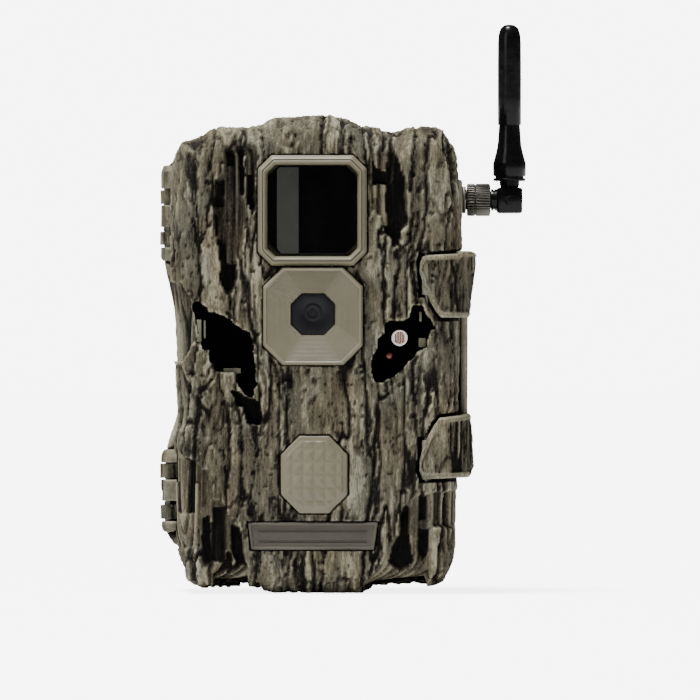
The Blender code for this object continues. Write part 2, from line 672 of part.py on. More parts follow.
def add_cells():
    """Four upright cells in each bay, every other one upside down."""
    for row in range(2):
        for column in range(4):
            body, cap, step = CELL_LENGTH - 1.2, 2.6, 0.5
            profile = [(0, CELL_LENGTH), (cap, CELL_LENGTH), (cap, body), (CELL_R - step, body)]
            profile += [(CELL_R, body - step), (CELL_R, step), (CELL_R - step, 0), (0, 0)]
            x = (column - 1.5) * CELL_PITCH
            low = bay_bottom(row) + (BAY_HEIGHT - CELL_LENGTH) / 2
            flipped = (row + column) % 2 == 1
            place = (x, CELL_Y, low + CELL_LENGTH if flipped else low)
            turn = (math.pi, 0, 0) if flipped else None
            turned(f"aa_cell_{row * 4 + column + 1}", profile, "cell_wrap", place, turn, 16)


def add_contacts():
    """The metal strips at the far ends of both bays."""
    half = 2 * CELL_PITCH - 1.0
    for name, low in (
        ("battery_contact_lower", bay_bottom(0) + GAP),
        ("battery_contact_upper", bay_bottom(1) + BAY_HEIGHT - GAP - CONTACT_THICKNESS),
    ):
        box(name, (-half, half), (1.0, 13.0), (low, low + CONTACT_THICKNESS), "contact_metal")


def add_modem():
    box("modem_board", (-28.0, 28.0), (18.5, 20.1), (72.0, 128.0), "circuit_board")
    box("modem_shield", (-17.0, 17.0), (20.4, 23.2), (84.0, 116.0), "chip_metal", 0.4)


def add_tripod_insert():
    insert = rod("tripod_insert", "z", TRIPOD_CENTRE, 4.5, (0.2, 9.0), "brass", 20)
    cut(insert, rod("tripod_thread", "z", TRIPOD_CENTRE, 3.1, (-2.0, 12.0), segments=20))


def add_power_port():
    x, y = PORT_CENTRE
    box("power_jack", (x - 4.7, x + 4.7), (y - 5, y + 5), (7.4, 12.1), "black_plastic")
    plug = box("power_port_plug", (x - 6, x + 6), (y - 4.5, y + 4.5), (1.2, 2.7), "seal_rubber", 0.4)
    join(plug, rod("port_plug_stem", "z", (x, y), 2.6, (2.0, 6.8), segments=16))


def make_tree_bracket():
    """A plate on the back with two toothed ribs that grip the trunk and pass the strap."""
    bracket = box("tree_bracket", (-27.0, 27.0), (HOUSING_BACK_Y + GAP, 33.3), (22.0, 120.0), "bark_plastic")
    teeth = 9
    pitch = (RIB_Z[1] - RIB_Z[0] - 8) / teeth
    outline = [(32.0, RIB_Z[0]), (RIB_BACK_Y - 2, RIB_Z[0])]
    for tooth in range(teeth):
        low = RIB_Z[0] + 4 + tooth * pitch
        outline += [(RIB_BACK_Y - 1.3, low), (RIB_BACK_Y, low + pitch / 2)]
    outline += [(RIB_BACK_Y - 1.3, RIB_Z[1] - 4), (RIB_BACK_Y - 2, RIB_Z[1]), (32.0, RIB_Z[1])]
    for name, x in (("left", (-RIB_X[1], -RIB_X[0])), ("right", RIB_X)):
        join(bracket, lengthwise(name + "_rib", outline, x))
    cut(bracket, box("strap_slot", (-30.0, 30.0), STRAP_SLOT_Y, STRAP_SLOT_Z))
    cut(bracket, rod("lock_cable_hole", "x", (37.6, 103.0), 3.3, (-30.0, 30.0), segments=20))
    return bracket


# Antenna


def add_antenna():
    axis = (ANTENNA_Y, ANTENNA_Z)
    rod("antenna_jack", "x", axis, 3.17, (37.0, 52.2), "brass", 20)
    lock = rod("jack_lock_nut", "x", axis, 4.7, (45.6, 46.6), "steel", 6)
    cut(lock, rod("jack_lock_bore", "x", axis, 3.5, (44.0, 48.0), segments=20))

    ridges = 36
    rim = []
    for point in range(2 * ridges):
        angle = math.pi * point / ridges
        radius = 4.95 if point % 2 == 0 else 4.6
        rim.append((ANTENNA_Y + radius * math.cos(angle), ANTENNA_Z + radius * math.sin(angle)))
    nut = lengthwise("antenna_nut", rim, (46.9, 54.1), "black_metal")
    cut(nut, rod("nut_thread", "x", axis, 3.5, (45.0, 52.6), segments=20))
    cut(nut, rod("nut_collar", "x", axis, 2.8, (51.0, 56.0), segments=20))

    elbow = rod("antenna_elbow", "x", axis, 2.5, (52.9, 56.6), "antenna_rubber", 20)
    join(elbow, rod("elbow_shoulder", "x", axis, 3.3, (54.4, 56.2), segments=20))
    join(elbow, box("elbow_base", (56.0, 57.0), (2.0, 10.0), (114.6, 122.4)))
    for name, y in (("near", (2.0, 3.9)), ("far", (8.1, 10.0))):
        cheek = box(f"elbow_cheek_{name}", (56.4, 63.8), y, (114.6, 122.4))
        join(elbow, cheek)
    pivot = (ELBOW_X, ANTENNA_Z - 0.2)
    cut(elbow, rod("elbow_bore", "y", pivot, 1.3, (-2.0, 14.0), segments=14))
    pin = rod("antenna_pivot_pin", "y", pivot, 1.0, (2.2, 9.8), "steel", 14)

    profile = [
        (0, WHIP_TOP_Z), (2.2, WHIP_TOP_Z - 0.4), (3.1, WHIP_TOP_Z - 1.6), (3.55, WHIP_TOP_Z - 4.0),
        (3.55, 141.6), (3.2, 141.2), (3.5, 136.2), (3.8, 134.2), (5.0, 130.0), (5.0, 126.0),
        (4.9, 124.7), (0, 124.7),
    ]
    local = [(radius, height - pivot[1]) for radius, height in profile]
    whip = turned("antenna_whip", local, "antenna_rubber", (ELBOW_X, ANTENNA_Y, pivot[1]), steps=24)
    tongue = box("whip_tongue", (ELBOW_X - 2.7, ELBOW_X + 2.7), (4.2, 7.8), (pivot[1], 125.6))
    eye = rod("whip_eye", "y", pivot, 2.7, (4.2, 7.8), segments=20)
    join(tongue, eye)
    join(whip, tongue)
    cut(whip, rod("whip_bore", "y", pivot, 1.3, (-2.0, 14.0), segments=14))
    return {"nut": nut, "elbow": [elbow, pin], "whip": whip}


# Axes that the moving pieces hang on


def axis_empty(name, place):
    empty = bpy.data.objects.new(name, None)
    PARTS.objects.link(empty)
    empty.location = Vector(place) * MM
    return empty


def hang(empty, *pieces):
    """Parents the pieces to the empty without moving them."""
    bpy.context.view_layer.update()
    for piece in pieces:
        piece.parent = empty
        piece.matrix_parent_inverse = empty.matrix_world.inverted()


def build():
    make_rear_housing()
    make_gasket()
    make_tree_bracket()
    make_battery_tray()
    add_cells()
    add_contacts()
    add_modem()
    add_tripod_insert()
    add_power_port()
    add_hinge_pins()
    antenna = add_antenna()

    door = [make_front_shell(), make_ir_bezel(), make_lens_plate(), make_led_board(), make_badge()]
    door += add_window_glass() + add_camera_module() + add_motion_sensor() + add_light_sensor()
    door += [make_eye_insert("sensor_insert", RIGHT_EYE), make_eye_insert("microphone_insert", LEFT_EYE)]
    door += [make_main_board(), make_control_panel()] + add_controls() + add_memory_card()
    door += add_latch_pins()
    lever = make_latch()

    door_axis = axis_empty("door_axis", (HINGE_X, SEAM_Y, 0.0))
    latch_axis = axis_empty("latch_axis", (*LATCH_PIVOT, 0.0))
    elbow_axis = axis_empty("antenna_axis", (ELBOW_X, ANTENNA_Y, ANTENNA_Z))
    hang(door_axis, latch_axis, *door)
    hang(latch_axis, lever)
    hang(elbow_axis, antenna["nut"], antenna["whip"], *antenna["elbow"])


build()
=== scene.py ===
"""Trail camera: the looks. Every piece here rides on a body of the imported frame.

Sizes are in millimetres in the frame's axes (+Z up, the camera faces -Y) and MM turns them into metres.
"""

import math

import bmesh
import bpy
import numpy as np
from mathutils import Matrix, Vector


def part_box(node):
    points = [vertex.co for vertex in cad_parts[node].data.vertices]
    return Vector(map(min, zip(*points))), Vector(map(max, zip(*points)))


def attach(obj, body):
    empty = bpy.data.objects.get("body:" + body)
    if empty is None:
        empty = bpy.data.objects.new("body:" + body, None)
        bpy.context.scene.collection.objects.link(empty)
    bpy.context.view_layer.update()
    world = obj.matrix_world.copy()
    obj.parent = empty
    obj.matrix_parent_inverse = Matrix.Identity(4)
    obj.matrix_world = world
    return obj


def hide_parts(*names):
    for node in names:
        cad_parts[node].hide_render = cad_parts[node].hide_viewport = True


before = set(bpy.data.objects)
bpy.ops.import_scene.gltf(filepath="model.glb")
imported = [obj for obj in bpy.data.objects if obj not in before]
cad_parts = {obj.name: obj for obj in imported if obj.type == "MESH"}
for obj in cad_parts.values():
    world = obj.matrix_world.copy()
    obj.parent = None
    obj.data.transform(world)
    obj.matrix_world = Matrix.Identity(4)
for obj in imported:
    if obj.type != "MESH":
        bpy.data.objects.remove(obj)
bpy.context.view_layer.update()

MM = 0.001

# Places of the CAD model, in millimetres

def node_box(node):
    """A node's lowest and highest corners at rest, in millimetres."""
    low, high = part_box(node)
    return np.array(low) / MM, np.array(high) / MM


SEAM_Y = -4.0
HALF_SEAM = 0.15
DOOR_RIM_Y = SEAM_Y - HALF_SEAM
HOUSING_RIM_Y = SEAM_Y + HALF_SEAM
DOOR_FACE_Y = node_box("front_shell")[0][1]
HOUSING_FACE_Y = node_box("rear_housing")[1][1]
MID_Z = 71.5

# The silhouette of the case, counter-clockwise from the base (x, z)

RIGHT_SIDE = [
    (14.8, 0.2), (20.4, 2.2), (31.7, 2.8), (38.0, 3.3), (41.2, 6.2), (42.5, 11.0), (43.1, 20.3),
    (43.6, 40.0), (43.9, 60.0), (44.3, 82.0), (44.8, 102.8), (44.5, 113.0), (44.0, 124.5),
]
TOP_SIDE = [
    (43.2, 133.0), (40.8, 136.9), (38.0, 139.0), (34.4, 140.3), (30.0, 139.0), (24.9, 138.5),
    (20.0, 139.2), (14.0, 140.7), (8.4, 142.5), (2.0, 143.2), (-5.0, 142.9), (-11.4, 142.2),
    (-16.2, 139.3), (-23.0, 138.9), (-29.9, 139.0), (-34.0, 136.6), (-39.5, 134.6),
]
BOTTOM_SIDE = [
    (-38.6, 7.0), (-36.5, 4.3), (-32.0, 2.6), (-26.0, 2.7), (-19.0, 2.8), (-13.0, 0.8), (-6.0, 0.0),
    (5.0, 0.0),
]
DOOR_LEFT_SIDE = [
    (-41.7, 130.0), (-42.6, 124.0), (-42.8, 110.0), (-42.7, 97.0), (-42.0, 88.0), (-40.9, 79.0),
    (-40.6, 66.0), (-40.4, 53.0), (-41.8, 47.6), (-42.3, 40.0), (-42.0, 20.0), (-40.6, 13.4),
]
HOUSING_LEFT_SIDE = [
    (-42.4, 129.8), (-44.2, 127.4), (-44.8, 123.6), (-44.9, 112.0), (-44.8, 102.0), (-44.5, 98.0),
    (-43.3, 93.0), (-42.2, 88.0), (-41.2, 79.0), (-40.8, 66.0), (-40.8, 55.0), (-42.2, 49.4),
    (-44.3, 42.6), (-44.7, 36.0), (-44.7, 22.0), (-44.2, 17.8), (-42.6, 15.2), (-40.2, 12.8),
]


# Noise: every value comes from hashed lattice points, so each run gives the same relief.
# The last argument of every noise call is its seed.

X_FACTOR, Y_FACTOR, Z_FACTOR, SEED_FACTOR = 374761393, 668265263, 2246822519, 3266489917
WORD = 2**32


def hashed(ix, iy, iz, seed):
    """A repeatable number from 0 to 1 for each lattice point."""
    mixed = np.uint32(seed * SEED_FACTOR % WORD)
    for place, factor in ((ix, X_FACTOR), (iy, Y_FACTOR), (iz, Z_FACTOR)):
        mixed = mixed + place.astype(np.uint32) * np.uint32(factor)
    for shift, factor in ((15, Z_FACTOR), (13, SEED_FACTOR), (16, 1)):
        mixed = (mixed ^ (mixed >> np.uint32(shift))) * np.uint32(factor)
    return mixed.astype(np.float64) / (WORD - 1)


def value_noise(points, seed):
    """Smooth noise from -1 to 1 at (n, 3) points, one lattice cell per unit."""
    cell = np.floor(points)
    share = points - cell
    share = share * share * (3 - 2 * share)
    cell = cell.astype(np.int64)
    total = np.zeros(len(points))
    for corner in range(8):
        step = np.array([corner & 1, corner >> 1 & 1, corner >> 2 & 1])
        weight = np.prod(np.where(step == 1, share, 1 - share), axis=1)
        at = cell + step
        total += weight * hashed(at[:, 0], at[:, 1], at[:, 2], seed)
    return total * 2 - 1


def layered_noise(points, octaves, seed):
    """Value noise with finer, weaker layers added."""
    total, weight = np.zeros(len(points)), 1.0
    for octave in range(octaves):
        total += weight * value_noise(points * 2.03**octave, seed + octave)
        weight *= 0.5
    return total


def ramp(value, low, high):
    """A smooth step from 0 at low to 1 at high."""
    share = np.clip((value - low) / (high - low), 0.0, 1.0)
    return share * share * (3 - 2 * share)


# Plane geometry

def unit(vectors):
    """Rows of vectors, each made 1 long."""
    return vectors / np.linalg.norm(vectors, axis=1)[:, None]


def wide(span, margin):
    """A (low, high) span with a margin added at both ends."""
    return span[0] - margin, span[1] + margin


def smooth_path(points, closed=False, pitch=0.5):
    """A smooth curve through the points, as points about pitch apart."""
    control = np.array(points, float)
    count = len(control)
    spans = count if closed else count - 1
    out = []
    for k in range(spans):
        if closed:
            a, b, c, d = (control[(k + j - 1) % count] for j in range(4))
        else:
            b, c = control[k], control[k + 1]
            a = control[k - 1] if k else 2 * b - c
            d = control[k + 2] if k + 2 < count else 2 * c - b
        steps = max(2, int(np.ceil(np.linalg.norm(c - b) / pitch)))
        for t in np.arange(steps) / steps:
            point = 2 * b + (c - a) * t + (2 * a - 5 * b + 4 * c - d) * t**2
            out.append(0.5 * (point + (3 * b - a - 3 * c + d) * t**3))
    if not closed:
        out.append(control[-1])
    return np.array(out)


def along(path, shares):
    """Points at the given shares of a path's length."""
    lengths = np.concatenate([[0], np.cumsum(np.linalg.norm(np.diff(path, axis=0), axis=1))])
    at = np.asarray(shares) * lengths[-1]
    return np.stack([np.interp(at, lengths, path[:, k]) for k in range(path.shape[1])], axis=1)


def edge_distance(points, loop):
    """Distance from (n, 2) points to a closed loop."""
    best = np.full(len(points), 1e9)
    for a, b in zip(loop, np.roll(loop, -1, axis=0)):
        run = b - a
        t = np.clip(((points - a) @ run) / (run @ run + 1e-12), 0, 1)
        best = np.minimum(best, np.linalg.norm(points - a - t[:, None] * run, axis=1))
    return best


def inside(points, loop):
    """Whether each of (n, 2) points is inside a closed loop."""
    crossings = np.zeros(len(points), bool)
    for (ax, az), (bx, bz) in zip(loop, np.roll(loop, -1, axis=0)):
        if az == bz:
            continue
        spans = (az > points[:, 1]) != (bz > points[:, 1])
        crossings ^= spans & (points[:, 0] < (bx - ax) * (points[:, 1] - az) / (bz - az) + ax)
    return crossings


def depth_inside(points, loop):
    """Distance to a loop's edge, positive inside it and negative outside."""
    loop = np.array(loop, float)
    away = edge_distance(points, loop)
    return np.where(inside(points, loop), away, -away)


# Relief of the case: ridged bark over smoother wood, with hollows (all outlines are x, z)

LEFT_TRENCH = [
    (-26.4, 134.6), (-26.2, 126.0), (-29.3, 124.4), (-29.5, 114.8), (-29.2, 109.0), (-27.8, 106.0),
    (-27.3, 99.0), (-25.2, 93.0), (-24.0, 90.2), (-22.8, 94.0), (-22.3, 100.2), (-20.1, 108.0),
    (-19.3, 112.2), (-20.2, 119.0), (-20.2, 127.0), (-20.4, 134.8),
]
BEZEL_LEFT_TRENCH = [
    (-19.8, 134.8), (-19.9, 126.0), (-19.6, 119.0), (-18.0, 113.6), (-16.6, 118.0), (-16.6, 134.6),
]
RIGHT_TRENCH = [
    (17.5, 132.4), (17.6, 117.6), (19.0, 114.4), (20.8, 113.6), (21.4, 110.2), (23.7, 106.0),
    (24.3, 102.9), (25.8, 104.0), (26.7, 108.6), (28.4, 110.4), (28.8, 121.0), (27.4, 125.6),
    (25.7, 130.4), (24.4, 133.6),
]
LOWER_RIGHT_RECESS = [
    (46.0, 31.4), (42.5, 31.1), (35.1, 29.9), (29.8, 28.5), (29.2, 26.3), (27.2, 25.4), (25.9, 17.1),
    (23.6, 15.4), (22.0, 12.6), (21.4, 9.0), (18.0, 5.6), (16.2, 2.6), (14.0, -3.0), (46.0, -3.0),
]
LOWER_LEFT_RECESS = [
    (-46.0, 46.4), (-42.4, 46.1), (-40.6, 42.6), (-38.4, 40.2), (-34.5, 40.1), (-33.2, 37.5),
    (-30.0, 36.6), (-29.6, 30.1), (-29.6, 28.2), (-26.2, 26.5), (-23.6, 21.6), (-20.4, 12.5),
    (-19.1, 4.1), (-19.0, -3.0), (-46.0, -3.0),
]
LEFT_SHELF = [
    (-46.0, 94.6), (-42.6, 93.8), (-38.6, 92.2), (-37.4, 89.6), (-36.3, 86.6), (-35.0, 76.0),
    (-38.0, 70.0), (-46.0, 68.0),
]
RECESSES = [LEFT_TRENCH, BEZEL_LEFT_TRENCH, RIGHT_TRENCH, LOWER_RIGHT_RECESS, LOWER_LEFT_RECESS, LEFT_SHELF]
CORNER_LUMPS = [
    [(36.4, 19.6), (42.0, 20.4), (46.0, 20.0), (46.0, -3.0), (33.6, -3.0), (34.4, 4.0), (36.2, 9.0)],
    [(-29.6, 3.0), (-31.2, 9.6), (-34.0, 13.2), (-40.0, 13.6), (-46.0, 13.4), (-46.0, -3.0), (-29.0, -3.0)],
]
LEFT_EYE = [
    (-35.8, 86.6), (-33.4, 76.6), (-33.2, 73.8), (-31.2, 73.0), (-30.4, 69.8), (-28.4, 66.7),
    (-23.2, 66.2), (-22.7, 63.2), (-20.7, 60.2), (-18.2, 58.7), (-16.7, 63.7), (-17.2, 68.7),
    (-17.3, 72.2), (-19.2, 77.9), (-23.7, 81.4), (-28.4, 84.2), (-31.3, 84.6), (-32.6, 86.3),
]
RIGHT_EYE = [
    (30.0, 86.1), (29.1, 83.3), (28.1, 82.2), (23.0, 81.4), (21.3, 77.7), (20.1, 76.4), (19.7, 73.3),
    (18.2, 70.2), (18.3, 64.7), (20.3, 63.4), (24.5, 65.4), (28.4, 69.3), (33.9, 74.0), (35.2, 78.5),
    (37.0, 80.0), (34.3, 84.0), (33.3, 86.1),
]
LEFT_EYE_TAIL = [(-24.4, 61.0), (-15.6, 58.0), (-15.3, 50.8), (-19.2, 50.6), (-20.5, 56.0), (-22.3, 56.7)]
# Deep holes in the relief; front_relief also paints them black, as painted shade.
HOLES = [
    [(-29.2, 124.2), (-26.3, 124.2), (-26.4, 115.3), (-29.2, 115.3)],
    [(-29.3, 113.8), (-28.9, 109.0), (-27.9, 105.0), (-27.6, 99.0), (-27.4, 92.6), (-25.2, 89.8),
     (-23.4, 93.0), (-22.4, 98.8), (-25.8, 99.2), (-26.0, 104.0), (-26.6, 106.2), (-27.9, 107.0),
     (-28.3, 113.6)],
    [(-19.4, 125.6), (-17.6, 125.8), (-17.3, 116.4), (-18.4, 114.8), (-19.2, 117.0)],
    [(17.8, 131.6), (19.2, 127.4), (22.2, 126.2), (22.8, 130.6), (23.4, 122.8), (24.5, 125.0), (25.7, 130.0),
     (27.8, 124.0), (28.4, 112.0), (26.4, 108.0), (24.4, 103.6), (22.4, 110.0), (22.0, 122.4), (17.9, 122.8)],
    [(-32.9, 22.4), (-30.5, 23.4), (-30.0, 12.6), (-29.4, 8.2), (-33.2, 8.2), (-34.0, 11.8), (-32.8, 13.0)],
    [(-25.9, 12.4), (-24.2, 11.4), (-23.8, 4.4), (-26.6, 4.6)],
    [(-24.6, 21.4), (-21.8, 19.4), (-19.6, 7.0), (-22.4, 6.6), (-24.0, 12.0)],
    [(24.0, 14.6), (29.0, 20.0), (30.4, 8.6), (26.6, 4.4), (22.6, 9.6)],
    [(31.6, 19.4), (35.6, 19.4), (35.0, 12.0), (32.6, 8.0)],
    LEFT_EYE_TAIL,
]

RAISED_SHEET = [
    (-44.0, 81.6), (-40.8, 80.9), (-37.9, 77.9), (-34.6, 75.0), (-33.3, 74.0), (-30.4, 68.8),
    (-29.1, 64.6), (-29.4, 57.8), (-31.0, 54.5), (-33.0, 56.5), (-34.9, 60.4), (-38.9, 67.2),
    (-44.0, 72.0),
]

BARK_TOP = 0.55
SIDE_TOP = -0.25
SHEET_RISE = 0.8
RECESS_DEPTH = 2.3
HOLE_DEPTH = 4.2
SIDE_WALL_DEPTH = 2.5
FACE_EXTRA_DEPTH = 3.0
TRENCH_EXTRA_DEPTH = 0.9
SIDE_GRAIN_ENDS = (56.0, 68.0)  # how far above and below the middle the grain turns over the ends
RAGGED_EDGE = (-0.15, 0.35)

# Beside the lower latch pad the bark stays low, so that the pad's rim swings past it
LATCH_SWEEP = [
    (29.5, 40.0), (31.5, 48.0), (35.0, 54.5), (39.4, 57.4), (43.0, 53.0), (37.2, 50.6), (34.6, 45.4),
    (33.4, 40.0),
]


def unrolled(points, face_y):
    """Points for the ridges' noise: ridges stand upright on the sides and run front to back over the ends."""
    out = points.copy()
    ends = ramp(np.abs(points[:, 2] - MID_Z), *SIDE_GRAIN_ENDS)
    out[:, 1] = (points[:, 1] - face_y) * (1 - ends)
    out[:, 2] = points[:, 2] + ends * np.sign(points[:, 2] - MID_Z) * np.abs(points[:, 1] - face_y)
    return out


def ridge_field(at, size, seed):
    """Noise whose zero lines are the cracks; size is (across, across, along) in millimetres."""
    size = np.array(size)
    return value_noise(at / size, seed) + 0.4 * value_noise(at / (size * (0.55, 0.55, 0.4)), seed + 1)


def crack_distance(points, face_y, drift, across, size, seed, least_slope):
    """The field, and about how many millimetres each point lies from a crack."""
    here = ridge_field(unrolled(points, face_y) + drift, size, seed)
    beside = ridge_field(unrolled(points + 0.3 * across, face_y) + drift, size, seed)
    slope = np.abs(beside - here) / 0.3
    return here, np.abs(here) / np.maximum(slope, least_slope)


def bark_drift(plain):
    """How far the ridges wander, along each axis."""
    drift = np.zeros_like(plain)
    drift[:, 0] = 2.2 * layered_noise(plain / [15, 15, 44], 2, 11)
    drift[:, 0] += 0.55 * layered_noise(plain / [2.6, 2.6, 6.5], 3, 13)
    drift[:, 1] = 2.2 * layered_noise(plain / [17, 17, 36], 2, 17)
    drift[:, 2] = 3.5 * value_noise(plain / [5, 5, 16], 19)
    return drift


def bark(points, normals, face_y):
    """Long ridges parted by ragged cracks: height in millimetres, and tone (0 in a crack, 1 on a ridge)."""
    across = unit(np.stack([0.05 - normals[:, 1], normals[:, 0], np.zeros(len(points))], axis=1))
    plain = unrolled(points, face_y)
    drift = bark_drift(plain)
    field, away = crack_distance(points, face_y, drift, across, (3.1, 3.1, 42), 23, 0.16)
    width = 0.42 + 0.50 * value_noise(plain / [5, 5, 13], 27)
    plate = ramp(away, 0.2 * width, width + 0.25)
    _, beside = crack_distance(points, face_y, drift, across, (1.7, 1.7, 12), 31, 0.3)
    where = ramp(value_noise(plain / [5, 5, 12], 33), -0.55, 0.25)
    shallow = (1 - ramp(beside, 0.05, 0.6)) * where
    streaks = layered_noise((plain + drift) / [0.8, 0.8, 7], 2, 41)
    rough = layered_noise(plain / [1.0, 1.0, 1.8], 2, 45)
    wear_and_highlight = 1 - ramp(away, 0.3, 1.9)
    pits = ramp(layered_noise(plain / [1.0, 1.0, 1.9], 2, 47) + 0.55 * wear_and_highlight, 0.68, 1.1)
    swell = value_noise(plain / [6, 6, 30], 43)
    step = np.tanh(field / 0.22)
    grime = layered_noise(plain / [2.4, 2.4, 9], 3, 49)
    height = plate * (0.05 + 0.36 * swell + 0.38 * step) - 1.35 * (1 - plate)
    height += -0.60 * shallow * plate + 0.20 * streaks + 0.17 * rough - 0.7 * pits * plate
    # Tone follows the relief: cracks, shallow cracks and pits are painted darker, partly as the dark paint in
    # them and partly as painted shade; streaks and grime vary at random.
    tone = plate * (0.66 + 0.12 * swell + 0.10 * step) * (1 - 0.45 * shallow) * (1 - 0.6 * pits)
    return height, tone + plate * (0.15 * streaks + 0.17 * grime) + 0.13 * (1 - plate)


def wood(points):
    """Smoother parallel grain with stepped splinters, for the wood laid bare under the bark."""
    wave = 1.3 * value_noise(points / [20, 20, 40], 53)
    across = points[:, 0] + points[:, 1] * 0.9 + wave
    across += 0.8 * np.sin(across / 2.1)
    column = np.floor(across / 2.3)
    none = np.zeros(len(points), np.int64)
    offset = 30 * hashed(column.astype(np.int64), none, none, 59)
    level = np.floor((points[:, 2] + offset) / 17.0)
    step = hashed(column.astype(np.int64), level.astype(np.int64), none, 61)
    groove = np.abs(across / 2.3 - column - 0.5) * 2
    fine = layered_noise(np.stack([across / 0.85, points[:, 1] / 6, points[:, 2] / 42], axis=1), 2, 67)
    gap = ramp(step, 0.30, 0.22)
    height = 1.5 * (step - 0.5) - 0.7 * groove**4 + 0.26 * fine - 0.8 * gap
    # Tone follows the relief: painted shade in the grooves and gaps, and each splinter's tone rises with its
    # height.
    return height, 0.34 + 0.62 * step - 0.40 * groove**3 + 0.28 * fine - 0.5 * gap


def wobble(points, size, seed):
    """Moves outline samples about, so that the edges between layers are ragged."""
    shift = np.zeros((len(points), 2))
    shift[:, 0] = size * layered_noise(points / [2.6, 2.6, 3.4], 2, seed)
    shift[:, 1] = size * 1.6 * layered_noise(points / [2.0, 2.0, 4.0], 2, seed + 5)
    return points[:, [0, 2]] + shift


def covered(plan, outlines, low, high):
    """A share from 0 to 1 for how far each (x, z) point is inside any of the outlines."""
    share = np.zeros(len(plan))
    for outline in outlines:
        share = np.maximum(share, ramp(depth_inside(plan, outline), low, high))
    return share


def proud(normals):
    """How far the bark's ridges stand out: less on the sides than on the face."""
    return BARK_TOP + (SIDE_TOP - BARK_TOP) * ramp(np.abs(normals[:, 0]), 0.5, 0.9)


def rear_relief(points, normals):
    """The housing's height, tone and bareness: lower bark, and no bare wood."""
    height, tone = bark(points, normals, HOUSING_FACE_Y)
    return 0.75 * height + 0.6 * proud(normals), tone, np.zeros(len(points))


def front_relief(points, normals):
    """Height over the nominal surface, with tone (0 in cracks, 1 on top) and bareness (1 on bare wood)."""
    bark_height, bark_tone = bark(points, normals, DOOR_FACE_Y)
    wood_height, wood_tone = wood(points)
    plan = wobble(points, 0.42, 71)
    trench = covered(plan, [LEFT_TRENCH], 0.0, 1.2)
    bare = covered(plan, RECESSES, *RAGGED_EDGE)
    bare = np.minimum(bare, 1 - covered(plan, CORNER_LUMPS, *RAGGED_EDGE))
    hole = covered(plan, HOLES, -0.05, 0.28)
    sheet = depth_inside(plan, RAISED_SHEET)
    bark_height = bark_height + SHEET_RISE * ramp(sheet, -0.1, 0.4) + proud(normals)
    wood_height = wood_height - TRENCH_EXTRA_DEPTH * trench - RECESS_DEPTH
    height = ((1 - bare) * bark_height + bare * wood_height) * (1 - hole) - HOLE_DEPTH * hole
    deepest = SIDE_WALL_DEPTH + FACE_EXTRA_DEPTH * ramp(-normals[:, 1], 0.15, 0.6)
    height = np.maximum(height, -deepest)
    swept = ramp(depth_inside(points[:, [0, 2]], LATCH_SWEEP), -0.6, 0.4)
    height -= swept * np.clip(height + 0.5, 0, None)
    # Painted highlight: the bark is painted lighter along the rims of the eye hollows.
    for eye in (LEFT_EYE, RIGHT_EYE):
        bark_tone = bark_tone + 0.45 * ramp(depth_inside(points[:, [0, 2]], eye), -0.95, -0.35)
    # Painted highlight along the inner edge of the raised sheet, and painted shadow on the bark just outside
    # it.
    painted_highlight = np.exp(-((sheet - 0.45) / 0.4) ** 2)
    shade = np.exp(-((sheet + 0.7) / 0.5) ** 2)
    # Painted highlight round the rims of the bare-wood recesses and of the holes.
    rim_highlight = np.exp(-((bare - 0.25) / 0.18) ** 2) + 1.4 * np.exp(-((hole - 0.3) / 0.12) ** 2)
    bark_tone = bark_tone * (1 - 0.55 * shade) + 0.3 * painted_highlight
    # Painted shade: the bare wood in the left trench is painted darker.
    tone = (1 - bare) * bark_tone + bare * wood_tone * (1 - 0.42 * trench)
    # The holes are painted black: painted shade in them.
    tone = np.clip(tone + 0.25 * rim_highlight * (1 - hole), 0, 1) * (1 - hole)
    return height, tone, np.maximum(bare, hole)


# Materials

# The lowest stops paint the deepest cracks and the holes near black: partly the dark paint, partly painted
# shade.
DARKEST = (0.0004, 0.0004, 0.0003)
BARK_STOPS = [
    (0.0, DARKEST), (0.25, (0.008, 0.007, 0.005)), (0.38, (0.033, 0.029, 0.020)),
    (0.55, (0.066, 0.060, 0.041)), (0.76, (0.102, 0.093, 0.063)), (1.0, (0.220, 0.205, 0.148)),
]
WOOD_STOPS = [
    (0.0, DARKEST), (0.3, (0.012, 0.010, 0.007)), (0.65, (0.062, 0.055, 0.037)), (1.0, (0.170, 0.155, 0.107)),
]
TINT_STOPS = [(0.35, (0.92, 0.98, 1.04)), (0.5, (1.0, 1.0, 1.0)), (0.65, (1.07, 1.0, 0.93))]
# The next two colours are painted light: a highlight for outer edges and shade for creases.
EDGE_HIGHLIGHT = (0.330, 0.310, 0.225)
CREVICE_SHADE = (0.005, 0.004, 0.003)
FLECK = (0.004, 0.004, 0.003)


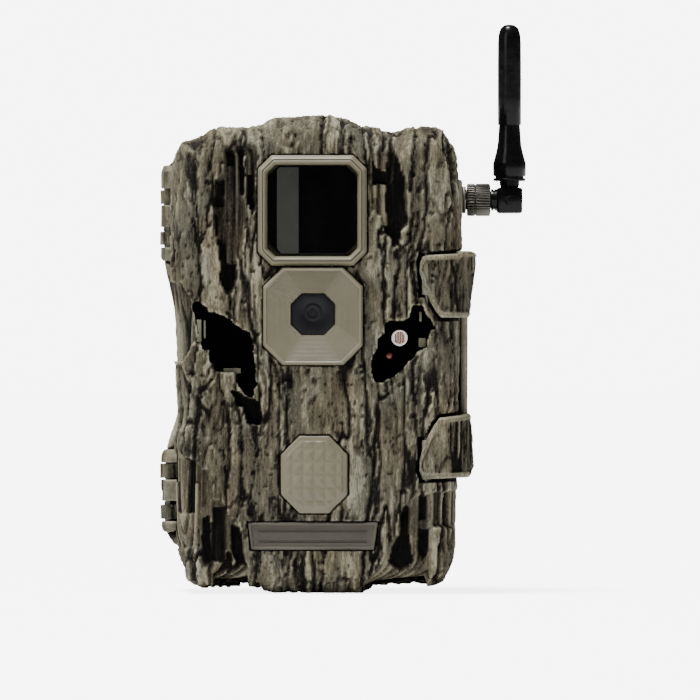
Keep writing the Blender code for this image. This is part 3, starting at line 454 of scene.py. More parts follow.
class Graph:
    """Adds nodes to a new material's tree and joins them by their arguments."""

    def __init__(self, name):
        self.material = bpy.data.materials.new(name)
        self.material.use_nodes = True
        self.tree = self.material.node_tree
        self.tree.nodes.clear()
        self.shader = self.tree.nodes.new("ShaderNodeBsdfPrincipled")
        output = self.tree.nodes.new("ShaderNodeOutputMaterial")
        self.tree.links.new(self.shader.outputs[0], output.inputs[0])

    def put(self, socket, value):
        if isinstance(value, bpy.types.NodeSocket):
            self.tree.links.new(value, socket)
        else:
            socket.default_value = value

    def node(self, kind, inputs=None, **settings):
        made = self.tree.nodes.new(kind)
        for key, value in settings.items():
            setattr(made, key, value)
        for key, value in (inputs or {}).items():
            self.put(made.inputs[key], value)
        return made

    def attribute(self, name):
        return self.node("ShaderNodeAttribute", attribute_name=name).outputs["Fac"]

    def place(self, scale=(1, 1, 1)):
        """Object coordinates in millimetres, scaled."""
        coordinates = self.node("ShaderNodeTexCoord").outputs["Object"]
        per_mm = tuple(1000.0 * share for share in scale)
        return self.node("ShaderNodeMapping", {"Vector": coordinates, "Scale": per_mm}).outputs[0]

    def noise(self, scale, stretch=(1, 1, 1), detail=3.0, roughness=0.55):
        """Noise from 0 to 1 with scale features per millimetre."""
        inputs = {"Vector": self.place(stretch), "Scale": scale, "Detail": detail, "Roughness": roughness}
        return self.node("ShaderNodeTexNoise", inputs).outputs["Fac"]

    def math(self, operation, a, b=0.0, clamp=False):
        """The result of an operation on two values."""
        return self.node("ShaderNodeMath", {0: a, 1: b}, operation=operation, use_clamp=clamp).outputs[0]

    def spread(self, value, low, high, to_low=0.0, to_high=1.0):
        """The value moved from one range to another, and held inside it."""
        inputs = {"Value": value, "From Min": low, "From Max": high, "To Min": to_low, "To Max": to_high}
        return self.node("ShaderNodeMapRange", inputs).outputs[0]

    def ramp(self, value, stops):
        """A colour read off (position, colour) stops."""
        made = self.node("ShaderNodeValToRGB", {"Fac": value})
        elements = made.color_ramp.elements
        while len(elements) < len(stops):
            elements.new(0.5)
        for element, (position, colour) in zip(elements, stops):
            element.position = position
            element.color = (*colour, 1.0)
        return made.outputs[0]

    def mix(self, share, a, b, blend="MIX"):
        made = self.node("ShaderNodeMix", data_type="RGBA", blend_type=blend)
        self.put(made.inputs["Factor"], share)
        for socket, value in ((made.inputs[6], a), (made.inputs[7], b)):
            self.put(socket, (*value, 1.0) if isinstance(value, tuple) else value)
        return made.outputs[2]

    def bump(self, height, distance_mm, strength=1.0):
        inputs = {"Height": height, "Distance": distance_mm * MM, "Strength": strength}
        return self.node("ShaderNodeBump", inputs).outputs[0]

    def finish(self, **sockets):
        """Fills the shader's sockets and gives the finished material."""
        for name, value in sockets.items():
            value = (*value, 1.0) if isinstance(value, tuple) and len(value) == 3 else value
            self.put(self.shader.inputs[name.replace("_", " ")], value)
        return self.material


def bark_material():
    """Moulded bark: cracks dark with paint and painted shade, tan plates, painted highlight on outer edges,
    painted shade in corners.
    """
    g = Graph("bark")
    tone, bare, edge = g.attribute("tone"), g.attribute("bare"), g.attribute("edge")
    mottle = g.noise(0.35, (1, 1, 0.35), 4.0, 0.6)
    speckle = g.noise(2.4, (1, 1, 0.4), 3.0, 0.65)
    grain = g.noise(1.5, (1, 1, 0.10), 4.0, 0.65)
    level = tone
    for pattern, share in ((speckle, 0.16), (grain, 0.15), (mottle, 0.10)):
        level = g.math("ADD", level, g.spread(pattern, 0.3, 0.7, -share, share), clamp=pattern is mottle)
    colour = g.mix(bare, g.ramp(level, BARK_STOPS), g.ramp(level, WOOD_STOPS))
    colour = g.mix(0.8, colour, g.ramp(g.noise(0.09, (1, 1, 0.6), 2.0), TINT_STOPS), "MULTIPLY")
    # Painted highlight: outer edges are painted paler.
    wear_and_highlight = g.math("MULTIPLY", g.spread(edge, 0.25, 0.9), g.spread(tone, 0.15, 0.6, 0.1, 0.75), clamp=True)
    colour = g.mix(wear_and_highlight, colour, EDGE_HIGHLIGHT)
    # Painted shade: inner corners and creases are painted darker.
    colour = g.mix(g.spread(edge, -0.25, -0.9, 0.0, 0.75), colour, CREVICE_SHADE)
    flecks = g.spread(g.noise(1.7, (1, 1, 0.4), 4.0, 0.7), 0.56, 0.66, 0.0, 0.65)
    colour = g.mix(flecks, colour, g.mix(0.65, colour, FLECK))
    roughness = g.spread(speckle, 0.25, 0.75, 0.55, 0.85)
    bump = g.bump(grain, 0.45)
    return g.finish(Base_Color=colour, Roughness=roughness, Normal=bump, Specular_IOR_Level=0.08)


def moulded_material(name, colour, roughness, grain_mm=0.03, dirt=0.25, edge_highlight_colour=None, specular=0.5):
    """Moulded plastic or rubber: fine grain, uneven sheen, random dirt, a painted highlight along outer edges
    and painted shade in inner corners.
    """
    g = Graph(name)
    dark = tuple(0.55 * c for c in colour)
    cloudy = g.noise(0.16, detail=4.0)
    shade = g.mix(g.spread(cloudy, 0.35, 0.7, 0.0, dirt), colour, dark)
    edge = g.attribute("edge")
    painted_highlight = edge_highlight_colour or tuple(min(1.0, 1.5 * c + 0.02) for c in colour)
    # Painted highlight along outer edges
    shade = g.mix(g.spread(edge, 0.2, 0.9, 0.0, 0.6), shade, painted_highlight)
    # Painted shade in inner corners
    shade = g.mix(g.spread(edge, -0.2, -0.9, 0.0, 0.6), shade, dark)
    grain = g.noise(5.0, detail=3.0)
    sheen = g.spread(g.noise(0.5, detail=3.0), 0.3, 0.7, roughness - 0.07, roughness + 0.09)
    bump = g.bump(grain, grain_mm)
    return g.finish(Base_Color=shade, Roughness=sheen, Normal=bump, Specular_IOR_Level=specular)


def metal_material(name, colour, roughness, stretch=(1, 1, 1)):
    """Plated or turned metal with fine tool marks and slight tarnish."""
    g = Graph(name)
    tarnish = g.spread(g.noise(0.4, detail=4.0), 0.35, 0.7, 0.0, 0.45)
    shade = g.mix(tarnish, colour, tuple(0.5 * c for c in colour))
    marks = g.noise(6.0, stretch, 2.0)
    sheen = g.spread(marks, 0.3, 0.7, roughness - 0.06, roughness + 0.10)
    return g.finish(Base_Color=shade, Roughness=sheen, Metallic=1.0, Normal=g.bump(marks, 0.01))


def board_material():
    """Circuit board: green solder mask over square-edged tracks, with small tinned pads."""
    g = Graph("circuit_board")
    cells = g.node("ShaderNodeTexVoronoi", {"Vector": g.place(), "Scale": 0.55}, distance="CHEBYCHEV")
    bricks = g.node("ShaderNodeTexBrick", {"Vector": g.place(), "Scale": 0.35, "Mortar Size": 0.03})
    tracks = bricks.outputs["Fac"]
    mask = g.mix(tracks, (0.008, 0.050, 0.022), (0.020, 0.095, 0.040))
    pad = g.spread(cells.outputs["Distance"], 0.16, 0.13)
    shade = g.mix(pad, mask, (0.55, 0.52, 0.44))
    sheen = g.spread(g.noise(0.8), 0.3, 0.7, 0.28, 0.42)
    metal = g.math("MULTIPLY", pad, 0.8)
    return g.finish(Base_Color=shade, Roughness=sheen, Normal=g.bump(tracks, 0.04), Metallic=metal)


def glass_material(name, colour, roughness=0.04, specular=0.15):
    """Polished dark window: deep colour with faint smears in the gloss."""
    g = Graph(name)
    smears = g.spread(g.noise(0.12, (1, 1, 0.4), 4.0), 0.45, 0.75, roughness, roughness + 0.10)
    shade = g.mix(g.spread(g.noise(0.08), 0.4, 0.7, 0.0, 0.5), colour, tuple(1.5 * c for c in colour))
    return g.finish(Base_Color=shade, Roughness=smears, Specular_IOR_Level=specular)


TAN = (0.110, 0.099, 0.061)
RED = (0.15, 0.022, 0.010)
COAL = (0.006, 0.006, 0.006)
HOLLOW_HIGHLIGHT = (0.003, 0.003, 0.003)
# Key: name, colour, roughness, then the depth of the grain, share of dirt, colour of the painted edge
# highlight and specular level
MOULDED = {
    "tan": ("tan_plastic", TAN, 0.52, 0.02, 0.22),
    "splinter": ("splinter_plastic", (0.085, 0.077, 0.052), 0.6, 0.08, 0.6, (0.20, 0.185, 0.13), 0.1),
    "badge": ("badge_plastic", (0.058, 0.052, 0.039), 0.55, 0.02, 0.3, None, 0.25),
    "black": ("black_plastic", (0.009, 0.009, 0.009), 0.42, 0.03, 0.3),
    "antenna": ("antenna_rubber", (0.002, 0.002, 0.002), 0.2, 0.006, 0.2, COAL, 0.14),
    # Near-black with no specular: black plastic darkened further, as painted shade deep in the eye hollows.
    "hollow": ("hollow_plastic", (0.0012, 0.0012, 0.0012), 0.9, 0.03, 0.3, HOLLOW_HIGHLIGHT, 0.0),
    "rubber": ("seal_rubber", (0.020, 0.020, 0.020), 0.7, 0.03, 0.3),
    "keys": ("key_rubber", (0.060, 0.062, 0.066), 0.6, 0.03, 0.3),
    "ceramic": ("sensor_ceramic", (0.62, 0.58, 0.52), 0.4, 0.01, 0.15),
    "track": ("sensor_track", RED, 0.5, 0.01, 0.2, RED),
    "lamp": ("led_lens", (0.10, 0.012, 0.010), 0.25, 0.005, 0.1),
    "mark": ("mark_print", (0.42, 0.42, 0.42), 0.5, 0.01, 0.1),
    "wrap": ("cell_wrap", (0.36, 0.37, 0.36), 0.32, 0.005, 0.15),
    "band": ("cell_band", (0.025, 0.14, 0.10), 0.32, 0.005, 0.2),
    "card": ("card_plastic", (0.014, 0.030, 0.085), 0.38, 0.015, 0.2),
    "label": ("card_label", (0.50, 0.50, 0.48), 0.6, 0.01, 0.1),
    "emitter": ("emitter_resin", (0.20, 0.19, 0.23), 0.14, 0.003, 0.2),
}
# Key: name, colour, roughness, and how the tool marks are stretched
METALS = {
    "steel": ("steel", (0.45, 0.45, 0.44), 0.32, (1, 1, 0.1)),
    "gunmetal": ("black_metal", (0.088, 0.084, 0.072), 0.34, (0.1, 1, 1)),
    "brass": ("brass", (0.62, 0.44, 0.18), 0.30, (0.1, 1, 1)),
    "chip": ("chip_metal", (0.52, 0.52, 0.51), 0.36, (1, 0.1, 1)),
    "contact": ("contact_nickel", (0.58, 0.55, 0.49), 0.26, (0.1, 1, 1)),
}
# Key: name, colour, roughness and specular level
GLASSES = {
    "window": ("dark_glass", (0.0008, 0.0008, 0.001), 0.04, 0.06),
    "lens": ("lens_glass", (0.006, 0.006, 0.0075), 0.30, 0.12),
    # The grey strip on the flash window: a painted reflection.
    "reflection_strip": ("smoked_glass", (0.022, 0.023, 0.020), 0.25, 0.08),
    "filter": ("filter_glass", (0.070, 0.012, 0.020)),
    "display": ("display_glass", (0.016, 0.020, 0.026), 0.12),
}
MATERIALS = {"bark": bark_material(), "board": board_material()}
for make, table in ((moulded_material, MOULDED), (metal_material, METALS), (glass_material, GLASSES)):
    MATERIALS.update({key: make(*values) for key, values in table.items()})


# Mesh building

def read_vectors(collection, field):
    """The field of every item of a collection, as an (n, 3) array."""
    values = np.empty(len(collection) * 3)
    collection.foreach_get(field, values)
    return values.reshape(-1, 3)


def set_values(mesh, **values):
    """Stores a number for each vertex under each name."""
    for key, numbers in values.items():
        attribute = mesh.attributes.get(key) or mesh.attributes.new(key, "FLOAT", "POINT")
        attribute.data.foreach_set("value", np.asarray(numbers, np.float32))


def edge_values(mesh):
    """Gives each vertex an 'edge' value: 1 on sharp outer edges, -1 in sharp inner corners, 0 on the flat."""
    place = read_vectors(mesh.vertices, "co")
    normal = read_vectors(mesh.vertex_normals, "vector")
    count = len(place)
    ends = np.empty(len(mesh.edges) * 2, np.int64)
    mesh.edges.foreach_get("vertices", ends)
    ends = ends.reshape(-1, 2)
    degree = np.bincount(ends.ravel(), minlength=count).clip(1)
    lean = np.zeros(count)
    run = place[ends[:, 1]] - place[ends[:, 0]]
    length = np.linalg.norm(run, axis=1).clip(1e-9)
    for near, sign in ((0, 1.0), (1, -1.0)):
        facing = np.einsum("ij,ij->i", run * sign, normal[ends[:, near]]) / length
        lean -= np.bincount(ends[:, near], weights=facing, minlength=count)
    value = lean / degree
    for _ in range(2):
        spread = np.bincount(ends[:, 0], weights=value[ends[:, 1]], minlength=count)
        spread += np.bincount(ends[:, 1], weights=value[ends[:, 0]], minlength=count)
        value = 0.5 * value + 0.5 * spread / degree
    set_values(mesh, edge=np.clip(value * 2.6, -1, 1))


def link(name, data):
    """An object for the data, in the scene."""
    obj = bpy.data.objects.new(name, data)
    bpy.context.scene.collection.objects.link(obj)
    return obj


def solid_mesh(name, verts, faces):
    """A mesh from vertices in millimetres, its faces turned outward."""
    mesh = bpy.data.meshes.new(name)
    mesh.from_pydata((np.asarray(verts) * MM).tolist(), [], faces)
    turned = bmesh.new()
    turned.from_mesh(mesh)
    bmesh.ops.recalc_face_normals(turned, faces=turned.faces)
    turned.to_mesh(mesh)
    turned.free()
    return mesh


def piece(name, verts, faces, material, body, node=None, **values):
    """A shown piece riding on a body, with numbers for its vertices; it replaces the node."""
    mesh = solid_mesh(name, verts, faces)
    set_values(mesh, **values)
    mesh.shade_smooth()
    mesh.materials.append(MATERIALS[material])
    obj = link(name, mesh)
    if body:
        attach(obj, body)
    if node:
        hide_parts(node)
    return obj


def apply_modifiers(obj):
    """Turns the object's modifiers into plain mesh."""
    graph = bpy.context.evaluated_depsgraph_get()
    evaluated = obj.evaluated_get(graph)
    flat = bpy.data.meshes.new_from_object(evaluated, preserve_all_data_layers=True, depsgraph=graph)
    old = obj.data
    obj.modifiers.clear()
    obj.data = flat
    bpy.data.meshes.remove(old)


def grid_faces(index):
    """The quads of a grid of vertex numbers."""
    corners = [index[:-1, :-1], index[:-1, 1:], index[1:, 1:], index[1:, :-1]]
    return np.stack(corners, axis=2).reshape(-1, 4).tolist()


def grid_border(index):
    """The vertex numbers round the edge of a grid."""
    return np.concatenate([index[0, :-1], index[:-1, -1], index[-1, :0:-1], index[:0:-1, 0]])


def ring_faces(low, high):
    """The quads between two closed rings of vertex numbers."""
    return np.stack([low, np.roll(low, -1), np.roll(high, -1), high], axis=1).tolist()


def tube_faces(rows, count, joined=False):
    """Faces through rings of count points, closed at both ends unless the last ring joins the first."""
    index = np.arange(rows * count).reshape(rows, count)
    faces = []
    for row in range(rows if joined else rows - 1):
        faces += ring_faces(index[row], index[(row + 1) % rows])
    return faces if joined else faces + [index[0].tolist(), index[-1].tolist()]


def around(sides):
    """Evenly spaced angles, one for each side of a turned piece."""
    return np.linspace(0, 2 * math.pi, sides, endpoint=False)


def ring_about(axis, centre, reach, at, angles):
    """A ring round an axis; reach is one radius, or one for each angle."""
    a, b = centre[0] + reach * np.cos(angles), centre[1] + reach * np.sin(angles)
    level = np.full(len(angles), at)
    return np.stack({"x": (level, a, b), "y": (a, level, b), "z": (a, b, level)}[axis], axis=1)


def at_y(loop, y):
    """An (x, z) loop as points at y."""
    return np.stack([loop[:, 0], np.full(len(loop), y), loop[:, 1]], axis=1)


# Plain solids in millimetres, used as blocks and as cutters

def solid(rings):
    """A closed solid through rings of points."""
    verts = np.concatenate([np.asarray(ring, float) for ring in rings])
    return link("solid", solid_mesh("solid", verts, tube_faces(len(rings), len(rings[0]))))


def prism(outline, y_low, y_high):
    """An (x, z) outline drawn out along Y."""
    return solid([at_y(np.array(outline, float), y) for y in (y_low, y_high)])


def box(x, y, z):
    """A block from three (low, high) spans."""
    return prism([(x[0], z[0]), (x[1], z[0]), (x[1], z[1]), (x[0], z[1])], *y)


def rod(axis, centre, radius, span, sides=32):
    """A cylinder; centre is its place on the two other axes, in their order."""
    return solid([ring_about(axis, centre, radius, at, around(sides)) for at in span])


def cut(obj, cutters, operation="DIFFERENCE"):
    """Applies boolean cuts one after another and removes the cutters."""
    for tool in cutters:
        modifier = obj.modifiers.new("cut", "BOOLEAN")
        modifier.operation = operation
        modifier.solver = "MANIFOLD"
        modifier.object = tool
    apply_modifiers(obj)
    for tool in cutters:
        bpy.data.objects.remove(tool, do_unlink=True)


# Case shells

CASE_ROLL = 8.0
CASE_CORNERS = [(-38.6, 7.0), (41.2, 6.2), (40.8, 136.9), (-39.5, 134.6)]
CASE_SPANS = (84.0, 139.0)
CASE_HALF_WIDTH = 43.0
INSIDE_TONE = 0.42


def drawn_in(loop, inset):
    """A silhouette made smaller by about inset all round."""
    x = loop[:, 0] * (1 - inset / CASE_HALF_WIDTH)
    return np.stack([x, MID_Z + (loop[:, 1] - MID_Z) * (1 - inset / MID_Z)], axis=1)


def rounded_shares(length, pitch):
    """Shares from 0 to 1 along a face, closer together where its ends roll over."""
    turn = np.linspace(0, math.pi / 2, int(CASE_ROLL * math.pi / 2 / pitch) + 1)[:-1]
    arc = CASE_ROLL * (1 - np.cos(turn)) / length
    steps = max(2, int((length - 2 * CASE_ROLL) / pitch))
    flat = np.linspace(CASE_ROLL / length, 1 - CASE_ROLL / length, steps)
    return np.concatenate([arc, flat, 1 - arc[::-1]])


def case_plan(left_side, pitch):
    """A grid of (x, z) points that fills the silhouette."""
    loop = smooth_path(BOTTOM_SIDE + RIGHT_SIDE + TOP_SIDE + left_side, closed=True)
    marks = [int(np.argmin(np.linalg.norm(loop - corner, axis=1))) for corner in CASE_CORNERS]
    turned = np.roll(loop, -marks[0], axis=0)
    stops = [(mark - marks[0]) % len(loop) for mark in marks[1:]] + [len(loop)]
    closed = np.concatenate([turned, turned[:1]])
    bottom, right, top, left = (closed[a : b + 1] for a, b in zip([0] + stops[:-1], stops))
    u, v = (rounded_shares(length, pitch) for length in CASE_SPANS)
    low, high = along(bottom, u), along(top[::-1], u)
    near, far = along(left[::-1], v), along(right, v)
    uu, vv = u[None, :, None], v[:, None, None]
    grid = (1 - vv) * low[None] + vv * high[None] + (1 - uu) * near[:, None] + uu * far[:, None]
    corners = (1 - uu) * (1 - vv) * low[0] + uu * (1 - vv) * low[-1]
    corners = corners + (1 - uu) * vv * high[0] + uu * vv * high[-1]
    return grid - corners


def raise_relief(shell, verts, outer_count, rim_y, outward, relief):
    """Moves the outer vertices by their relief, which fades at the rim and stays above the ground."""
    outer = verts[:outer_count]
    normal = read_vectors(shell.data.vertex_normals, "vector")[:outer_count]
    height, tone, bare = relief(outer, normal)
    fade = ramp(np.abs(outer[:, 1] - rim_y), 0.0, 2.0)
    moved = verts.copy()
    moved[:outer_count] += normal * (height * (0.25 + 0.75 * fade))[:, None]
    moved[:, 2] = np.maximum(moved[:, 2], 0.0)
    moved[outward * (rim_y - moved[:, 1]) > 0, 1] = rim_y
    shell.data.vertices.foreach_set("co", (moved * MM).ravel())
    plain = np.zeros(len(verts) - outer_count)
    tone, bare = np.concatenate([tone, plain + INSIDE_TONE]), np.concatenate([bare, plain])
    set_values(shell.data, tone=tone, bare=bare)


def case_shell(name, left_side, rim_y, face_y, pitch, relief, inner_steps):
    """A case half: a face that rolls over into side walls, with relief outside and plain walls inside.

    inner_steps are (y, inset) sections of the hollow, from the rim to its floor.
    """
    outward = math.copysign(1.0, face_y - rim_y)
    grid = case_plan(left_side, pitch)
    flat = grid.reshape(-1, 2)
    index = np.arange(len(flat)).reshape(grid.shape[:2])
    border = grid_border(index)
    away = edge_distance(flat, flat[border])
    away[border] = 0.0
    drop = CASE_ROLL - np.sqrt(np.clip(CASE_ROLL**2 - np.clip(CASE_ROLL - away, 0, None) ** 2, 0, None))
    wall_start = face_y - outward * CASE_ROLL
    wall_rows = max(2, int(abs(rim_y - wall_start) / (1.35 * pitch)))
    rings = [at_y(flat[border], y) for y in np.linspace(wall_start, rim_y, wall_rows + 1)[1:]]
    rings += [at_y(drawn_in(flat[border], inset), y) for y, inset in inner_steps]
    verts = np.concatenate([np.stack([flat[:, 0], face_y - outward * drop, flat[:, 1]], axis=1)] + rings)
    faces = grid_faces(index)
    bark_faces = len(faces) + (wall_rows + 1) * len(border)
    before = border
    for number in range(len(rings)):
        now = len(flat) + number * len(border) + np.arange(len(border))
        faces += np.stack([before, now, np.roll(now, -1), np.roll(before, -1)], axis=1).tolist()
        before = now
    faces.append(before.tolist())
    shell = piece(name, verts, faces, "bark", None)
    shell.data.materials.append(MATERIALS["black"])
    shell.data.polygons.foreach_set("material_index", (np.arange(len(faces)) >= bark_faces).astype(np.int32))
    raise_relief(shell, verts, len(flat) + wall_rows * len(border), rim_y, outward, relief)
    return shell


# Outlines, plates and lofts

def offset_outline(outline, amount):
    """A polygon whose sides are moved out by amount."""
    loop = np.array(outline, float)
    area = 0.5 * np.sum(loop[:, 0] * np.roll(loop[:, 1], -1) - np.roll(loop[:, 0], -1) * loop[:, 1])
    run = np.roll(loop, -1, axis=0) - loop
    run /= np.linalg.norm(run, axis=1)[:, None]
    normal = np.stack([run[:, 1], -run[:, 0]], axis=1) * math.copysign(1.0, area)
    before = np.roll(normal, 1, axis=0)
    mitre = (normal + before) / (1 + np.sum(normal * before, axis=1)).clip(0.25)[:, None]
    return loop + amount * mitre


def offset_line(path, amount):
    """An open line of points moved sideways."""
    run = unit(np.diff(path, axis=0))
    normal = np.stack([run[:, 1], -run[:, 0]], axis=1)
    before = np.concatenate([normal[:1], normal])
    after = np.concatenate([normal, normal[-1:]])
    mitre = (before + after) / (1 + np.sum(before * after, axis=1)).clip(0.4)[:, None]
    return path + amount * mitre


def octagon(spec, grow=0.0):
    """The eight corners of a chamfered square, its sides moved out by grow."""
    (cx, cz), (width, height), cut_off = spec["centre"], spec["size"], spec["chamfer"]
    w, h, c = width / 2 + grow, height / 2 + grow, cut_off + 0.586 * grow
    corners = [
        (w, c - h), (w, h - c), (w - c, h), (c - w, h), (-w, h - c), (-w, c - h), (c - w, -h),
        (w - c, -h),
    ]
    return [(cx + x, cz + z) for x, z in corners]


def between(first, second, share):
    """The chamfered square part of the way from one to another."""
    return {key: (1 - share) * np.array(first[key]) + share * np.array(second[key]) for key in first}


def soft_loop(outline, radius=0.4, straight=8, arc=4):
    """A polygon with rounded corners, always with the same number of points for the same corners."""
    loop = np.array(outline, float)
    sides = np.roll(loop, -1, axis=0) - loop
    lengths = np.linalg.norm(sides, axis=1)
    ways = sides / lengths[:, None]
    reach = np.minimum(radius, 0.45 * np.minimum(lengths, np.roll(lengths, 1)))
    points = []
    for k, corner in enumerate(loop):
        following = (k + 1) % len(loop)
        start, end = corner - ways[k - 1] * reach[k], corner + ways[k] * reach[k]
        for t in np.linspace(0, 1, arc + 1):
            points.append((1 - t) ** 2 * start + 2 * t * (1 - t) * corner + t**2 * end)
        stop = loop[following] - ways[k] * reach[following]
        for t in np.linspace(0, 1, straight + 1)[1:-1]:
            points.append((1 - t) * end + t * stop)
    return np.array(points)


def set_creases(obj, degrees):
    obj.data.set_sharp_from_angle(angle=math.radians(degrees))


def loft(name, rings, material, body, joined=False, crease=None, node=None):
    """A surface through rings of points, closed at its ends or joined into a frame; crease is in degrees."""
    verts = np.concatenate([np.asarray(ring, float) for ring in rings])
    obj = piece(name, verts, tube_faces(len(rings), len(rings[0]), joined), material, body, node)
    edge_values(obj.data)
    if crease:
        set_creases(obj, crease)
    return obj


def plate(name, outline, profile, material, body, corner=0.4, straight=8, **more):
    """A plate along Y from an (x, z) outline; the profile is (inset, y) pairs from back to front."""
    rings = [at_y(soft_loop(offset_outline(outline, -inset), corner, straight), y) for inset, y in profile]
    return loft(name, rings, material, body, **more)


def shaped(base, name, material, body, bevel=0.3, joins=(), cuts=(), node=None):
    """A solid joined and cut with others, its edges rounded off, as a finished piece."""
    if joins:
        cut(base, joins, "UNION")
    if cuts:
        cut(base, cuts)
    if bevel:
        rounding = base.modifiers.new("rounding", "BEVEL")
        rounding.width = bevel * MM
        rounding.segments = 2
        rounding.limit_method = "ANGLE"
        rounding.angle_limit = math.radians(40)
        apply_modifiers(base)
    base.name = name
    base.data.name = name
    base.data.materials.clear()
    base.data.materials.append(MATERIALS[material])
    base.data.shade_smooth()
    set_creases(base, 40)
    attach(base, body)
    if node:
        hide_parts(node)
    return base


def lathe(name, profile, axis, centre, material, body, sides=48, knurls=0, knurl_depth=0.0, node=None):
    """A turned piece: profile is (radius, place along the axis); knurls cut into radii over the first."""
    angles = around(sides)
    rings = []
    for radius, at in profile:
        reach = max(radius, 0.02)
        if knurls and radius > profile[0][0]:
            reach = reach - knurl_depth * (0.5 - 0.5 * np.cos(knurls * angles)) ** 1.5
        rings.append(ring_about(axis, centre, reach, at, angles))
    return loft(name, rings, material, body, crease=35, node=node)


def coil(name, centre, radius, span, turns, wire, material, body):
    """A spring along Z that narrows towards its end."""
    t = np.linspace(0, 1, turns * 14 + 1)
    turn = 2 * math.pi * turns * t
    out = np.stack([np.cos(turn), np.sin(turn), 0 * t], axis=1)
    path = radius * (1 - 0.35 * t)[:, None] * out + (*centre, 0)
    path[:, 2] = span[0] + t * (span[1] - span[0])
    up = np.cross(unit(np.gradient(path, axis=0)), out)
    angles = around(7)[:, None]
    rings = [p + wire * (np.cos(angles) * o + np.sin(angles) * u) for p, o, u in zip(path, out, up)]
    return loft(name, rings, material, body)


def screw_head(name, centre, at, radius, material, body):
    """A dished screw head that faces +Y, with a six-lobed socket; at is where its underside sits."""
    angles = around(48)
    lobes = radius * (0.42 + 0.07 * np.cos(6 * angles))
    steps = [
        (radius, 0.0), (radius, 0.35), (0.9 * radius, 0.62), (0.7 * radius, 0.7), (lobes * 1.06, 0.7),
        (lobes, 0.62), (lobes * 0.96, 0.2),
    ]
    rings = [ring_about("y", centre, reach, at + rise, angles) for reach, rise in steps]
    return loft(name, rings, material, body, crease=35)


# Openings of the front shell and the pieces in them (centre, size and chamfer in x and z)

WALL = 3.2
GAP = 0.3
CAVITY_FRONT_Y = -28.0
INSET_BACK_Y = -30.3
IR_BEZEL = {"centre": (0.1, 114.9), "size": (32.7, 33.2), "chamfer": 4.1}
IR_GLASS = {"centre": (0.1, 114.9), "size": (26.5, 26.5), "chamfer": 3.0}
LENS_PLATE = {"centre": (0.3, 83.2), "size": (29.9, 29.3), "chamfer": 5.8}
LENS_WINDOW = {"centre": (0.3, 83.8), "size": (12.7, 12.7), "chamfer": 3.2}
PIR_LENS = {"centre": (0.7, 35.7), "size": (20.1, 23.3), "chamfer": 5.6}
BADGE_OUTLINE = [(-19.2, 21.3), (-18.3, 13.1), (18.6, 13.1), (19.8, 21.3)]
HINGE_X = -43.3
POCKET_R = 3.3
KNUCKLE_R = 2.5
UPPER_DOOR_KNUCKLES = [(100.0, 104.1), (110.3, 116.9), (122.0, 129.0)]
LOWER_DOOR_KNUCKLES = [(17.9, 21.2), (27.4, 33.8), (39.0, 43.0)]
UPPER_HOUSING_KNUCKLES = [(104.9, 108.9), (117.3, 121.5)]
LOWER_HOUSING_KNUCKLES = [(21.9, 26.2), (34.3, 38.7)]
PIVOT = (34.4, -32.4)
UPPER_PAD = [
    (33.8, 101.3), (32.2, 99.5), (33.5, 92.3), (35.4, 87.5), (38.5, 82.6), (47.3, 82.8), (49.2, 94.0),
    (49.7, 102.8),
]
LOWER_PAD = [
    (38.4, 52.7), (36.7, 50.8), (33.0, 43.1), (31.9, 37.0), (33.2, 34.1), (47.2, 34.8), (49.4, 38.0),
    (48.3, 50.4), (47.6, 54.2),
]
PAD_INNER_CURVE = [(34.4, -32.0), (37.5, -32.0), (41.5, -30.0), (44.4, -26.5), (45.2, -22.0)]
PAD_OUTER_CURVE = [
    (34.4, -34.6), (37.0, -35.8), (42.0, -34.9), (46.5, -31.5), (49.0, -26.0), (49.7, -20.0),
]
ANTENNA_Y = 6.0
ANTENNA_Z = 118.7
ANTENNA_AXIS = (ANTENNA_Y, ANTENNA_Z)
TILT_AXIS = (59.9, 118.5)
TRIPOD_CENTRE = (2.0, 16.0)
PORT_CENTRE = (-28.0, 11.0)
FACET_SIZE = (3.3, 3.9)
LIGHT_CELL = (26.3, 76.7)
TRACK_HALF = 0.16
RIB_TEETH = 9
EMITTER_PITCH = 5.4


def ragged(outline):
    """The outline of a hollow with a torn edge."""
    loop = smooth_path(outline, True)
    at = at_y(loop, 0)
    shift = np.stack([layered_noise(at / 1.9, 2, seed) for seed in (81, 85)], axis=1)
    return loop + 0.42 * shift


def knuckle_pockets(spans):
    """Room in one case half for the other half's hinge barrels."""
    return [rod("z", (HINGE_X, SEAM_Y), POCKET_R, wide(span, 0.4), 24) for span in spans]


def pad_recess(pad, span):
    """What the shell loses under a latch pad: the pad's outline, as deep as the pad's inner curve."""
    inner = [(28.0, -32.6), (34.4, -32.0)] + PAD_INNER_CURVE[1:] + [(45.2, -10.0), (44.9, -6.0)]
    section = np.concatenate([np.array(inner) - (0.35, -0.35), [(60.0, -6.0), (60.0, -50.0), (28.0, -50.0)]])
    band = solid([[(x, y, z) for x, y in section] for z in wide(span, 5)])
    outline = prism(offset_outline(pad, 0.9), -50.0, -5.0)
    cut(outline, [band], "INTERSECT")
    return outline


def finish_case(shell, cutters, body, node):
    """Cuts a case half's openings and puts it in place of its node."""
    cut(shell, cutters)
    edge_values(shell.data)
    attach(shell, body)
    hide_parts(node)


